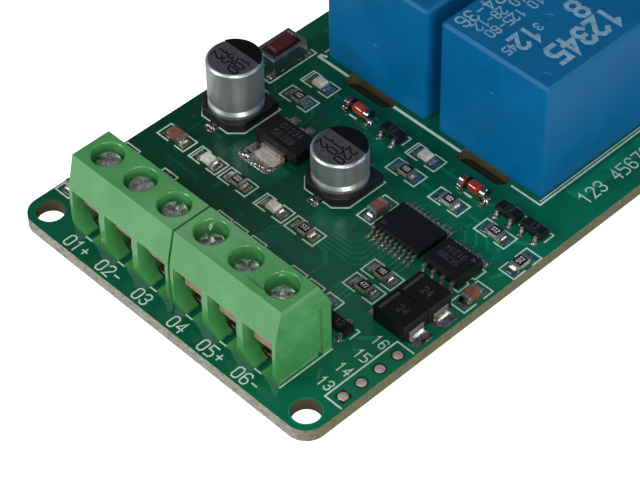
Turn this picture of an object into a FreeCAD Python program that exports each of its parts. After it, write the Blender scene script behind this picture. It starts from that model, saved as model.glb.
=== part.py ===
import FreeCAD, Part
import os
import re
import Sketcher

# Relay module board: a circuit board with two sealed relays, two pairs of green three-way
# screw terminals, a controller with its supply and bus parts, two relay drivers and a test button.
# All sizes are in millimetres.
# X runs along the wire terminals, Y from the input terminals to the output terminals, Z up.
# The origin is the middle of the four mounting holes, on the board's underside.

SIZES = [
    # circuit board
    ("board_thick", 1.6, "board"),
    ("board_corner", 2.4, "corner radius of the board"),
    ("mount_bore", 3.2, "mounting hole, for a 3 mm screw"),
    ("mount_inset", 2.45, "mounting hole centre, from both edges"),
    ("lead_tail", 1.9, "how far every soldered lead stands out below the board"),
    ("lead_gap", 0.2, "all round a lead in its hole"),
    # header holes
    ("header_pitch", 2.54, "header holes"),
    ("header_holes", 4, "number of header holes"),
    ("header_bore", 1.0, "header hole"),
    ("header_from_side", 1.25, "header holes, from the side edge"),
    ("header_from_front", 6.3, "first header hole, from the input edge"),
    # terminal block housing
    ("wire_pitch", 5.08, "wire entries"),
    ("wires_per_block", 3, "wire entries in one block"),
    ("block_end", 0.03, "what a block is longer than its pitches, at each end"),
    ("block_deep", 7.6, "block, front to back"),
    ("block_tall", 10.3, "block"),
    ("block_gap", 0.3, "between two blocks side by side"),
    ("block_from_edge", 2.35, "front of the block, from the board's edge"),
    ("block_shift", -0.1, "middle of the pair of blocks, from the board's middle"),
    ("brow_drop", 4.25, "upper edge of the wire entries, below the block's top"),
    ("brow_top_back", 1.0, "upper front edge, behind the block's front"),
    ("brow_knee_drop", 3.8, "lower end of the sloped brow, below the block's top"),
    ("brow_knee_back", 0.1, "the same point, behind the block's front"),
    ("belly_high", 5.0, "upper end of the upright front"),
    ("belly_low", 1.5, "lower end of the upright front"),
    ("toe_back", 0.33, "foot of the block, behind its front"),
    ("rear_slope_deep", 1.7, "rear slope, along the depth"),
    ("rear_slope_tall", 3.4, "rear slope, along the height"),
    ("entry_side_gap", 0.3, "between the contact and the walls of its entry"),
    ("entry_floor", 0.15, "lowest point of the entry's round sill"),
    ("sill_deep", 2.0, "sill, front to back"),
    ("cavity_wall", 0.9, "rear wall behind the clamp"),
    ("notch_wide", 0.8, "notch in the sill"),
    ("notch_shift", 0.42, "notch, left of the screw"),
    ("notch_tall", 0.57, "top of the notch"),
    ("well_gap", 0.35, "all round the screw head in its well"),
    ("well_back", 3.6, "well axis, behind the block's front"),
    ("panel_deep", 0.12, "sunk panel on the end faces"),
    ("panel_front", 0.45, "front edge of the panel, behind the block's front"),
    ("panel_rise", 0.7, "how much higher the panel is at its front edge"),
    ("groove_deep", 0.4, "joining groove on the end faces"),
    ("groove_wide", 0.6, "joining groove"),
    ("groove_back", 1.2, "from the groove to the rear face"),
    # clamp screw
    ("head_wide", 2.8, "screw head"),
    ("head_tall", 1.5, "screw head"),
    ("thread_wide", 2.5, "screw thread, outside"),
    ("screw_long", 5.3, "whole screw"),
    ("slot_wide", 0.6, "driver slot"),
    ("slot_deep", 0.7, "driver slot"),
    ("screw_turn", 37.0, "how much further each screw is turned than the one before it, degrees"),
    ("sink_input_1", 0.7, "screw heads below the block's top, first input block"),
    ("sink_input_2", 1.2, "screw heads below the block's top, second input block"),
    ("sink_output_1", 0.8, "screw heads below the block's top, first output block"),
    ("sink_output_2", 0.8, "screw heads below the block's top, second output block"),
    # contact and its pin
    ("nut_side", 0.45, "threaded plate beside its hole"),
    ("nut_thick", 0.7, "threaded top plate of the contact"),
    ("nut_drop", 0.3, "threaded plate's upper face, below the upper edge of the wire entries"),
    ("contact_thick", 0.5, "contact strip"),
    ("contact_floor", 0.35, "height of the contact's underside"),
    ("contact_gap", 0.15, "behind the contact and beside the guard's lip"),
    ("thread_gap", 0.1, "all round the screw in the threaded plate"),
    ("pin_wide", 1.0, "terminal pin"),
    ("pin_thick", 0.8, "terminal pin"),
    # wire guard under the screw
    ("guard_side", 0.15, "how much narrower the guard is than the contact, at each side"),
    ("guard_thick", 0.4, "wire guard plate"),
    ("guard_lip", 1.4, "turned-up front lip of the guard"),
    ("guard_back", 1.1, "front of the guard, behind the block's front"),
    ("guard_rear_gap", 0.5, "between the guard and the upright of the contact"),
    # relay
    ("relay_wide", 15.2, "relay"),
    ("relay_long", 19.0, "relay"),
    ("relay_tall", 15.3, "relay"),
    ("relay_wall", 0.8, "wall of the relay cover"),
    ("relay_corner", 0.6, "upright corners of the relay cover"),
    ("relay_rim", 0.35, "bevelled rim of the relay's top"),
    ("relay_between", 1.92, "between the two relays"),
    ("relay_shift", -0.33, "middle of the pair of relays, from the board's middle"),
    ("relay_ahead", 3.585, "from the drivers' row to the relays"),
    ("relay_behind", 3.64, "from the relays to the output terminals"),
    ("relay_base_thick", 1.2, "base plate that closes the cover"),
    ("relay_base_lift", 0.15, "base plate, above the board"),
    ("relay_gap", 0.1, "between base plate and cover"),
    ("blade_wide", 1.0, "relay lead"),
    ("blade_thick", 0.5, "relay lead"),
    ("common_back", 2.2, "common lead, behind the relay's front"),
    ("coil_back", 4.2, "coil leads, behind the relay's front"),
    ("contact_ahead", 2.6, "contact leads, in front of the relay's back"),
    ("blade_inset", 1.6, "outer leads, from the relay's sides"),
    ("works_inset", 1.8, "iron yoke, from the relay's sides and front, inside the cover's wall"),
    ("works_room", 0.5, "above the armature, inside the cover"),
    ("flange_thick", 0.8, "bobbin flange"),
    ("winding_step", 0.8, "winding, inside the edge of its flanges"),
    ("core_wide", 3.4, "pole face of the iron core"),
    ("core_proud", 0.4, "pole face above the bobbin"),
    ("yoke_thick", 1.2, "iron yoke"),
    ("armature_gap", 0.3, "open air gap under the armature"),
    ("works_long", 10.9, "coil and yoke, along the relay"),
    ("isolation_long", 7.1, "milled slot in front of each relay"),
    ("isolation_wide", 2.2, "milled slot"),
    ("isolation_ahead", 0.76, "slot centre, in front of the relay's face"),
    # electrolytic capacitors
    ("can_wide", 6.3, "capacitor can"),
    ("flare_tall", 0.5, "straight foot of the can"),
    ("neck_step", 0.3, "crimped neck, inside the can's wall"),
    ("neck_tall", 0.4, "each slope of the crimped neck"),
    ("can_rim", 0.25, "bevelled rim of the can"),
    ("foot_side", 0.15, "capacitor base beyond the can, at each side"),
    ("foot_tall", 1.25, "top of the capacitor's base"),
    ("foot_corner", 1.3, "cut corners of the base"),
    ("foot_lift", 0.15, "base above the board, thickness of its leads"),
    ("tall_can", 7.7, "first capacitor, whole height"),
    ("short_can", 5.4, "second capacitor, whole height"),
    ("can_lead_wide", 0.7, "capacitor lead"),
    ("can_lead_out", 0.6, "capacitor lead beyond the base"),
    ("can_lead_in", 1.9, "inner end of a lead, from the capacitor's middle"),
    # test button
    ("button_wide", 1.9, "red button"),
    ("button_long", 3.9, "red button"),
    ("button_proud", 0.5, "red button above its shell"),
    ("button_play", 0.1, "between button and shell"),
    ("button_round", 0.5, "corner radius of the button"),
    ("collar_thick", 0.3, "collar that keeps the button under the shell"),
    ("collar_out", 0.2, "collar beyond the button, all round"),
    ("shell_side", 0.6, "steel shell beyond the button, at each side"),
    ("shell_ends", 0.65, "steel shell beyond the button, at each end"),
    ("shell_top", 2.4, "steel shell, height above the board"),
    ("shell_low", 0.35, "lower edge of the steel shell"),
    ("shell_thick", 0.2, "steel shell"),
    ("shell_gap", 0.05, "between shell and base"),
    ("switch_base_tall", 1.2, "moulded base of the switch"),
    ("switch_foot_out", 0.75, "switch feet beyond the base"),
    ("switch_foot_wide", 0.6, "width of a switch foot"),
    ("switch_foot_side", 1.05, "switch feet, from the middle"),
    # chips
    ("chip_lift", 0.1, "chip bodies above the board"),
    ("chip_draft", 7.0, "draft of the moulded sides, degrees"),
    ("lead_thick", 0.18, "thickness of a formed chip lead"),
    ("toe_long", 0.5, "flat toe of a formed lead"),
    ("controller_wide", 6.5, "controller body, along its leads' row"),
    ("controller_deep", 4.4, "controller body"),
    ("controller_high", 1.05, "controller, top above the board"),
    ("controller_reach", 1.0, "controller leads beyond its body"),
    ("controller_pitch", 0.65, "controller leads"),
    ("controller_row", 10, "controller leads in a row"),
    ("controller_lead", 0.24, "width of a controller lead"),
    ("bus_wide", 4.9, "bus chip body, along its leads' row"),
    ("bus_deep", 3.9, "bus chip body"),
    ("bus_high", 1.6, "bus chip, top above the board"),
    ("bus_reach", 1.05, "bus chip leads beyond its body"),
    ("bus_pitch", 1.27, "bus chip leads"),
    ("bus_row", 4, "bus chip leads in a row"),
    ("bus_lead", 0.42, "width of a bus chip lead"),
    ("regulator_wide", 6.5, "regulator body"),
    ("regulator_deep", 3.5, "regulator body"),
    ("regulator_high", 1.7, "regulator, top above the board"),
    ("regulator_reach", 1.75, "regulator's tab and leads beyond its body"),
    ("regulator_toe", 1.1, "flat toe of the regulator's leads"),
    ("regulator_pitch", 2.3, "regulator leads"),
    ("regulator_lead", 0.7, "width of a regulator lead"),
    ("tab_wide", 3.05, "cooling tab"),
    ("transistor_wide", 2.9, "transistor body"),
    ("transistor_deep", 1.35, "transistor body"),
    ("transistor_high", 1.05, "transistor, top above the board"),
    ("transistor_reach", 0.53, "transistor leads beyond its body"),
    ("transistor_toe", 0.25, "flat toe of a transistor lead"),
    ("transistor_pitch", 1.9, "the two leads on one side"),
    ("transistor_lead", 0.42, "width of a transistor lead"),
    # diodes
    ("surge_long", 4.4, "surge diode body, along its leads"),
    ("surge_wide", 3.4, "surge diode body"),
    ("surge_high", 2.3, "surge diode, top above the board"),
    ("surge_gap", 0.1, "between the surge diodes"),
    ("surge_strip", 2.1, "width of a surge diode's terminal"),
    ("surge_strip_tall", 1.25, "terminal on the end of the body"),
    ("surge_strip_in", 1.1, "terminal folded under the body"),
    ("surge_strip_thick", 0.2, "thickness of the terminal"),
    ("surge_from_right", 4.1, "surge diodes, from the right edge"),
    ("surge_ahead", 1.05, "from the surge diodes to the bus chip's leads"),
    ("beside_surge", 2.535, "from a surge diode's terminal to the resistors beside it"),
    ("glass_wide", 1.5, "relay diode"),
    ("glass_long", 3.6, "relay diode"),
    # two-ended chip parts
    ("chip_long", 2.0, "chip resistor, capacitor and lamp"),
    ("chip_wide", 1.25, "chip resistor, capacitor and lamp"),
    ("resistor_high", 0.55, "chip resistor"),
    ("ceramic_high", 0.9, "chip capacitor"),
    ("lamp_high", 0.75, "status lamp"),
    # rows of parts, from the input terminals to the relays
    ("rear_row_gap", 2.05, "from the input terminals to the row behind them"),
    ("lamp_row_gap", 4.795, "from the rear row to the lamps' row"),
    ("chip_row_gap", 3.655, "from the lamps' row to the capacitors' bases"),
    ("low_row_gap", 2.235, "from the capacitors' bases to the resistors' row"),
    ("driver_row_gap", 1.69, "from the resistors' row to the drivers' row"),
    ("right_margin", 0.875, "from the last part of the chips' row to the right edge"),
    ("pair_gap", 1.4, "between the two resistors beside the surge diodes"),
    ("edge_gap", 0.505, "from the resistor at the right edge to that edge"),
    ("edge_step", 1.36, "the same resistor, in front of the resistors' row"),
    ("front_gap", 3.9, "between the first resistor and the capacitor in front of it"),
]

# Sizes that follow from the ones above.
FOLLOWING = [
    ("brow_low", "block_tall - brow_drop"),
    ("brow_knee", "block_tall - brow_knee_drop"),
    ("panel_high", "block_tall - rear_slope_tall"),
    ("contact_top", "brow_low - nut_drop"),
    ("contact_wide", "thread_wide + 2 * thread_gap + 2 * nut_side"),
    ("contact_back", "block_deep - cavity_wall - contact_gap"),
    ("entry_wide", "contact_wide + 2 * entry_side_gap"),
    ("well_wide", "head_wide + 2 * well_gap"),
    ("guard_wide", "contact_wide - 2 * guard_side"),
    ("guard_long", "contact_back - contact_thick - guard_rear_gap - guard_back"),
    ("block_long", "wires_per_block * wire_pitch + 2 * block_end"),
    ("block_step", "(block_long + block_gap) / 2"),
    ("relay_step", "(relay_wide + relay_between) / 2"),
    ("works_wide", "relay_wide - 2 * relay_wall - 2 * works_inset"),
    ("works_top", "relay_tall - relay_wall - works_room - relay_base_lift - relay_base_thick - yoke_thick"),
    ("bobbin_long", "works_long - yoke_thick - relay_gap"),
    ("bobbin_top", "works_top - armature_gap - core_proud"),
    ("foot_wide", "can_wide + 2 * foot_side"),
    ("shell_wide", "button_wide + 2 * shell_side"),
    ("shell_long", "button_long + 2 * shell_ends"),
    ("switch_base_wide", "shell_wide - 2 * shell_thick - 2 * shell_gap"),
    ("switch_base_long", "shell_long - 2 * shell_thick - 2 * shell_gap"),
    ("rear_row", "block_from_edge + block_deep + rear_row_gap + chip_long / 2"),
    ("lamp_row", "rear_row + chip_long / 2 + lamp_row_gap + chip_wide / 2"),
    ("chip_row", "lamp_row + chip_wide / 2 + chip_row_gap + foot_wide / 2"),
    ("low_row", "chip_row + foot_wide / 2 + low_row_gap + chip_wide / 2"),
    ("driver_row", "low_row + chip_wide / 2 + driver_row_gap + transistor_deep / 2"),
    ("relay_front", "driver_row + transistor_deep / 2 + relay_ahead"),
    ("board_long", "relay_front + relay_long + relay_behind + block_deep + block_from_edge"),
]

# Each row from left to right: the part, its size along the row, the gap in front of it (for the
# first part to the board's left edge), and how far its middle lies behind the row's line.
ROWS = [
    ("rear_row", [
        ("resistor_a", "chip_wide", 0.675, 0), ("ceramic_a", "chip_wide", 4.65, 0.2),
        ("resistor_b", "chip_wide", 7.6, 0), ("resistor_c", "chip_wide", 1.17, 0),
        ("resistor_d", "chip_wide", 1.58, 0), ("ceramic_b", "chip_wide", 4.85, 0),
        ("ceramic_c", "chip_wide", 1.35, 0), ("ceramic_d", "chip_wide", 1.48, 0),
        ("transistor_a", "transistor_wide", 1.145, -0.65)]),
    ("lamp_row", [
        ("ceramic_e", "chip_long", 2.54, 0), ("lamp_a", "chip_long", 3.07, 0),
        ("resistor_e", "chip_long", 2.67, 0), ("lamp_b", "chip_long", 3.59, 0),
        ("resistor_f", "chip_long", 2.73, 0)]),
    ("chip_row", [
        ("can_1", "foot_wide", 1.56, 0.05), ("regulator", "regulator_wide", 1.54, 0),
        ("can_2", "foot_wide", 1.59, 0.05), ("ceramic_f", "chip_wide", 1.775, 0),
        ("controller", "controller_wide", 1.035, -0.15), ("bus", "bus_wide", 0.86, -0.6),
        ("ceramic_g", "chip_wide", 0.965, -2.17)]),
    ("low_row", [
        ("resistor_g", "chip_long", 7.4, 0), ("resistor_h", "chip_long", 14.52, 0),
        ("resistor_i", "chip_long", 4.35, 0), ("resistor_j", "chip_long", 4.65, 0)]),
    ("driver_row", [
        ("switch", "shell_wide", 0.9, 0.05), ("lamp_c", "chip_long", 3.39, 0.3),
        ("glass_a", "glass_long", 3.61, 0), ("transistor_b", "transistor_wide", 1.9, 0),
        ("lamp_d", "chip_long", 2.43, 0.15), ("glass_b", "glass_long", 4.47, 0),
        ("transistor_c", "transistor_wide", 1.75, 0), ("transistor_d", "transistor_wide", 0.65, 0)]),
]

# Parts beside the rows: distances from the left edge and from the input edge.
BESIDE = [
    ("surge_a", "board_wide - surge_from_right", "surge_b_ahead - surge_wide - surge_gap"),
    ("surge_b", "board_wide - surge_from_right", ""),
    ("resistor_k", "surge_b_across - surge_long / 2 - surge_strip_thick - beside_surge - chip_long / 2",
     "surge_b_ahead"),
    ("resistor_l", "resistor_k_across", "surge_b_ahead - chip_wide - pair_gap"),
    ("resistor_m", "board_wide - edge_gap - chip_wide / 2", "low_row - edge_step"),
    ("ceramic_h", "resistor_a_across", "rear_row - chip_long - front_gap"),
]
TURNED = ["resistor_a", "resistor_b", "resistor_c", "resistor_d", "resistor_m", "ceramic_a", "ceramic_b",
          "ceramic_c", "ceramic_d", "ceramic_f", "ceramic_g", "ceramic_h"]

doc = FreeCAD.newDocument("relay_module_board")
sheet = doc.addObject("Spreadsheet::Sheet", "sizes")
NAMES = set()


def keep_size(name, value, meaning=""):
    """One row of the sheet: what the size is, and its number or the formula that it follows."""
    row = len(NAMES) + 1
    sheet.set(f"A{row}", meaning)
    sheet.set(f"B{row}", str(value))
    sheet.setAlias(f"B{row}", name)
    NAMES.add(name)


def keep_row(line, members):
    """Lays out one row of parts and keeps the middle of each."""
    reached = "0"
    for name, long, gap, behind in members:
        keep_size(f"{name}_gap", gap, f"gap in front of {name}")
        keep_size(f"{name}_behind", behind, f"{name}, behind the line of its row")
        keep_size(f"{name}_across", f"={reached} + {name}_gap + {long} / 2", f"{name}, from the left edge")
        keep_size(f"{name}_ahead", f"={line} + {name}_behind", f"{name}, from the input edge")
        reached = f"{name}_across + {long} / 2"
    return reached


def from_left(words):
    return f"({words}) - board_wide / 2"


def from_right(words):
    return f"board_wide / 2 - ({words})"


def from_front(words):
    return f"({words}) - board_long / 2"


def from_back(words):
    return f"board_long / 2 - ({words})"


def middle_of(name):
    """Where a part's middle lies, from the middle of the board."""
    return from_left(f"{name}_across"), from_front(f"{name}_ahead")


for size in SIZES:
    keep_size(*size)
for size, words in FOLLOWING:
    keep_size(size, "=" + words)
for line, members in ROWS:
    reached = keep_row(line, members)
    if line == "chip_row":
        keep_size("board_wide", f"={reached} + right_margin", "board, along the terminals")
keep_size("surge_b_ahead", "=bus_ahead - bus_deep / 2 - bus_reach - surge_ahead - surge_wide / 2",
          "surge_b, from the input edge")
for name, across, ahead in BESIDE:
    keep_size(f"{name}_across", "=" + across, f"{name}, from the left edge")
    if ahead:
        keep_size(f"{name}_ahead", "=" + ahead, f"{name}, from the input edge")
doc.recompute()

WORD = re.compile(r"[a-z][a-z0-9_]*")
KEPT = []


def formula(words):
    """'board_wide / 2' in the form that an object's expression needs."""
    return WORD.sub(lambda found: "sizes." + found.group() if found.group() in NAMES else found.group(),
                    str(words))


def number(words):
    return float(sheet.evalExpression(formula(words)))


def bind(thing, setting, words):
    thing.setExpression(setting, formula(words))


def place(thing, x_words="0", y_words="0", z_words="0", turn=0):
    """Turns a sub-part about the upright axis and ties its place to the sheet."""
    spin = FreeCAD.Rotation(FreeCAD.Vector(0, 0, 1), turn)
    thing.Placement = FreeCAD.Placement(FreeCAD.Vector(0, 0, 0), spin)
    for axis, words in zip("xyz", (x_words, y_words, z_words)):
        bind(thing, f"Placement.Base.{axis}", words)


def keep(thing, name):
    """Marks a finished sub-part: its label is the name of its file."""
    thing.Label = name
    KEPT.append(thing)
    return thing


def new_body(name):
    return doc.addObject("PartDesign::Body", name)


def origin_feature(body, role):
    return next(found for found in body.Origin.OriginFeatures if found.Role == role)


def new_sketch(body, role, offset="0"):
    """A sketch on one of the body's own planes, moved along the plane's normal."""
    sketch = body.newObject("Sketcher::SketchObject", "sketch")
    sketch.AttachmentSupport = [(origin_feature(body, role), "")]
    sketch.MapMode = "FlatFace"
    bind(sketch, "AttachmentOffset.Base.z", offset)
    return sketch


def fix(sketch, kind, place_of_point, words):
    """Ties one coordinate of a sketch point to the sheet."""
    index = sketch.addConstraint(Sketcher.Constraint(kind, -1, 1, *place_of_point, number(words)))
    sketch.setExpression(f"Constraints[{index}]", formula(words))


def outline(sketch, points):
    """Closed outline through points, each (x, y), or (x, y, centre_x, centre_y) where the
    edge that leaves the point is an anticlockwise arc about that centre."""
    first = sketch.GeometryCount
    spots = [[number(words) for words in point] for point in points]
    for spot, following in zip(spots, spots[1:] + spots[:1]):
        start = FreeCAD.Vector(spot[0], spot[1], 0)
        end = FreeCAD.Vector(following[0], following[1], 0)
        if len(spot) == 2:
            sketch.addGeometry(Part.LineSegment(start, end))
            continue
        centre = FreeCAD.Vector(spot[2], spot[3], 0)
        ring = Part.Circle(centre, FreeCAD.Vector(0, 0, 1), (start - centre).Length)
        sketch.addGeometry(Part.ArcOfCircle(ring, ring.parameter(start), ring.parameter(end)))
    count = len(points)
    for index in range(count):
        following = first + (index + 1) % count
        sketch.addConstraint(Sketcher.Constraint("Coincident", first + index, 2, following, 1))
    for index, point in enumerate(points):
        fix(sketch, "DistanceX", (first + index, 1), point[0])
        fix(sketch, "DistanceY", (first + index, 1), point[1])
        if len(point) == 4:
            spot = spots[index]
            following = spots[(index + 1) % count]
            # the ends fix one coordinate of the centre, and this fixes the other
            if abs(following[0] - spot[0]) > abs(following[1] - spot[1]):
                fix(sketch, "DistanceY", (first + index, 3), point[3])
            else:
                fix(sketch, "DistanceX", (first + index, 3), point[2])


def rectangle(sketch, x_low, y_low, x_high, y_high):
    outline(sketch, [(x_low, y_low), (x_high, y_low), (x_high, y_high), (x_low, y_high)])


def centred_rectangle(sketch, wide, long, x_words="0", y_words="0"):
    rectangle(sketch, f"{x_words} - ({wide}) / 2", f"{y_words} - ({long}) / 2",
              f"{x_words} + ({wide}) / 2", f"{y_words} + ({long}) / 2")


# half a side of an eight-sided outline, and its reach to a side, each for a reach of 1
HALF_SIDE = 0.41421
FLAT_SHARE = 0.92388


def octagon(sketch, x_words, y_words, reach_words):
    """Eight-sided outline whose sides lie at a distance from its middle."""
    far, near = f"({reach_words})", f"{HALF_SIDE} * ({reach_words})"
    corners = [(far, f"-{near}"), (far, near), (near, far), (f"-{near}", far), (f"-{far}", near),
               (f"-{far}", f"-{near}"), (f"-{near}", f"-{far}"), (near, f"-{far}")]
    outline(sketch, [(f"{x_words} + ({across})", f"{y_words} + ({along})") for across, along in corners])


def circle(sketch, x_words, y_words, wide_words):
    spot = FreeCAD.Vector(number(x_words), number(y_words), 0)
    index = sketch.addGeometry(Part.Circle(spot, FreeCAD.Vector(0, 0, 1), number(wide_words) / 2))
    fix(sketch, "DistanceX", (index, 3), x_words)
    fix(sketch, "DistanceY", (index, 3), y_words)
    constraint = sketch.addConstraint(Sketcher.Constraint("Diameter", index, number(wide_words)))
    sketch.setExpression(f"Constraints[{constraint}]", formula(wide_words))


def feature(body, kind, sketch, long_words, side="One side", turned_round=False):
    made = body.newObject(f"PartDesign::{kind}", kind.lower())
    made.Profile = sketch
    made.SideType = side
    made.Reversed = turned_round
    if long_words == "through":
        made.Type = "ThroughAll"
    else:
        bind(made, "Length", long_words)
    body.Tip = made
    return made


def pad(body, sketch, long_words, side="One side", turned_round=False):
    return feature(body, "Pad", sketch, long_words, side, turned_round)


def pocket(body, sketch, long_words, side="One side", turned_round=False):
    return feature(body, "Pocket", sketch, long_words, side, turned_round)


def revolve(body, sketch):
    made = body.newObject("PartDesign::Revolution", "revolution")
    made.Profile = sketch
    made.ReferenceAxis = (origin_feature(body, "Z_Axis"), [""])
    made.Angle = 360
    body.Tip = made
    return made


def row(body, features, axis, pitch_words, count_words):
    """Repeats features along an axis of the body."""
    made = body.newObject("PartDesign::LinearPattern", "row")
    made.Originals = features
    made.Direction = (origin_feature(body, axis), [""])
    bind(made, "Length", f"({count_words} - 1) * ({pitch_words})")
    bind(made, "Occurrences", count_words)
    body.Tip = made
    return made


def dress_edges(body, kind, size_words, chosen):
    """Rounds (Fillet) or bevels (Chamfer) the edges for which chosen(edge's box) is true."""
    doc.recompute()
    base = body.Tip
    names = [f"Edge{index}" for index, edge in enumerate(base.Shape.Edges, start=1)
             if chosen(edge.BoundBox)]
    made = body.newObject(f"PartDesign::{kind}", kind.lower())
    made.Base = (base, names)
    bind(made, "Radius" if kind == "Fillet" else "Size", size_words)
    body.Tip = made


def upright(edge_box):
    return edge_box.ZLength > 0.01 and edge_box.XLength < 0.001 and edge_box.YLength < 0.001


def centred_box(name, long, wide, tall, x_words, y_words, z_words):
    """A plain block whose footprint is centred on a place."""
    made = doc.addObject("Part::Box", name)
    bind(made, "Length", long)
    bind(made, "Width", wide)
    bind(made, "Height", tall)
    place(made, f"{x_words} - ({long}) / 2", f"{y_words} - ({wide}) / 2", z_words)
    return made


def group(name, members):
    """Several separate solids that share one file."""
    made = doc.addObject("Part::Compound", name)
    made.Links = members
    return keep(made, name)


TAIL_LOW = "0 - lead_tail"
SCREW_FRONT = "block_from_edge + well_back"
GUARD_LEVEL = "block_tall - screw_long - guard_thick"
FIRST_WIRE = "0 - (wires_per_block - 1) / 2 * wire_pitch"
RELAY_MIDDLES = ["relay_shift - relay_step", "relay_shift + relay_step"]
# each block: name, its middle along X, whether it faces the output edge, how deep its screws sit
BLOCKS = [
    ("input", 1, "block_shift - block_step", False, "sink_input_1"),
    ("input", 2, "block_shift + block_step", False, "sink_input_2"),
    ("output", 1, "block_shift - block_step", True, "sink_output_1"),
    ("output", 2, "block_shift + block_step", True, "sink_output_2"),
]
# each relay lead: its place across the relay, and behind the relay's front
RELAY_LEADS = [("0", "common_back"), ("blade_inset - relay_wide / 2", "coil_back"),
               ("relay_wide / 2 - blade_inset", "coil_back"),
               ("blade_inset - relay_wide / 2", "relay_long - contact_ahead"),
               ("relay_wide / 2 - blade_inset", "relay_long - contact_ahead")]


def entry_middles(middle_words):
    """Where a block's wire entries lie along X, first to last."""
    count = int(number("wires_per_block"))
    return [f"{middle_words} + ({index} - (wires_per_block - 1) / 2) * wire_pitch"
            for index in range(count)]


def make_board():
    body = new_body("board")
    sketch = new_sketch(body, "XY_Plane")
    centred_rectangle(sketch, "board_wide", "board_long")
    pad(body, sketch, "board_thick")
    dress_edges(body, "Fillet", "board_corner", upright)
    holes = new_sketch(body, "XY_Plane")
    for x_words in (from_left("mount_inset"), from_right("mount_inset")):
        for y_words in (from_front("mount_inset"), from_back("mount_inset")):
            circle(holes, x_words, y_words, "mount_bore")
    for kind, index, middle, turned, sink in BLOCKS:
        y_words = from_back(SCREW_FRONT) if turned else from_front(SCREW_FRONT)
        for x_words in entry_middles(middle):
            centred_rectangle(holes, "pin_wide + 2 * lead_gap", "pin_thick + 2 * lead_gap", x_words, y_words)
    for middle in RELAY_MIDDLES:
        for x_words, back_words in RELAY_LEADS:
            centred_rectangle(holes, "blade_wide + 2 * lead_gap", "blade_thick + 2 * lead_gap",
                              f"{middle} + {x_words}", from_front(f"relay_front + {back_words}"))
    pocket(body, holes, "through", turned_round=True)
    first_hole = new_sketch(body, "XY_Plane")
    circle(first_hole, from_right("header_from_side"), from_front("header_from_front"), "header_bore")
    header = pocket(body, first_hole, "through", turned_round=True)
    row(body, [header], "Y_Axis", "header_pitch", "header_holes")
    slots = new_sketch(body, "XY_Plane")
    for middle in RELAY_MIDDLES:
        y_words = from_front("relay_front - isolation_ahead")
        reach = "(isolation_long - isolation_wide) / 2"
        left_end, right_end = f"{middle} - {reach}", f"{middle} + {reach}"
        low, high = f"{y_words} - isolation_wide / 2", f"{y_words} + isolation_wide / 2"
        outline(slots, [(left_end, low), (right_end, low, right_end, y_words),
                        (right_end, high), (left_end, high, left_end, y_words)])
    pocket(body, slots, "through", turned_round=True)
    keep(body, "circuit_board")


def make_housing(name):
    """Green housing of a three-way screw terminal: its front at y = 0, its foot at z = 0."""
    body = new_body("housing")
    side = new_sketch(body, "YZ_Plane")
    outline(side, [("toe_back", "0"), ("block_deep", "0"), ("block_deep", "panel_high"),
                   ("block_deep - rear_slope_deep", "block_tall"), ("brow_top_back", "block_tall"),
                   ("brow_knee_back", "brow_knee"), ("0", "belly_high"), ("0", "belly_low")])
    pad(body, side, "block_long", "Symmetric")
    left, right = f"{FIRST_WIRE} - entry_wide / 2", f"{FIRST_WIRE} + entry_wide / 2"
    # wire entry with its round sill
    entry = new_sketch(body, "XZ_Plane")
    trough = "entry_floor + entry_wide / 2"
    outline(entry, [(left, trough, FIRST_WIRE, trough), (right, trough), (right, "brow_low"),
                    (left, "brow_low")])
    cuts = [pocket(body, entry, "sill_deep")]
    # room for the contact, open below so that it can be put in
    cavity = new_sketch(body, "XY_Plane")
    rectangle(cavity, left, "sill_deep", right, "block_deep - cavity_wall")
    cuts.append(pocket(body, cavity, "brow_low", turned_round=True))
    # notch in the sill
    notch = new_sketch(body, "XY_Plane")
    rectangle(notch, f"{FIRST_WIRE} - notch_shift - notch_wide / 2", "0",
              f"{FIRST_WIRE} - notch_shift + notch_wide / 2", "sill_deep")
    cuts.append(pocket(body, notch, "notch_tall", turned_round=True))
    # well of the clamp screw
    well = new_sketch(body, "XY_Plane", "block_tall")
    circle(well, FIRST_WIRE, "well_back", "well_wide")
    cuts.append(pocket(body, well, "brow_drop"))
    row(body, cuts, "X_Axis", "wire_pitch", "wires_per_block")
    # sunk panel and joining groove on both end faces
    groove_front = "block_deep - groove_back - groove_wide"
    for face_words, turned in (("block_long / 2", False), ("0 - block_long / 2", True)):
        panel = new_sketch(body, "YZ_Plane", face_words)
        outline(panel, [("panel_front", "0"), (groove_front, "0"), (groove_front, "panel_high"),
                        ("panel_front", "panel_high + panel_rise")])
        pocket(body, panel, "panel_deep", turned_round=turned)
        groove = new_sketch(body, "YZ_Plane", face_words)
        rectangle(groove, groove_front, "0", f"{groove_front} + groove_wide", "panel_high")
        pocket(body, groove, "groove_deep", turned_round=turned)
    return keep(body, name)


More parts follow.
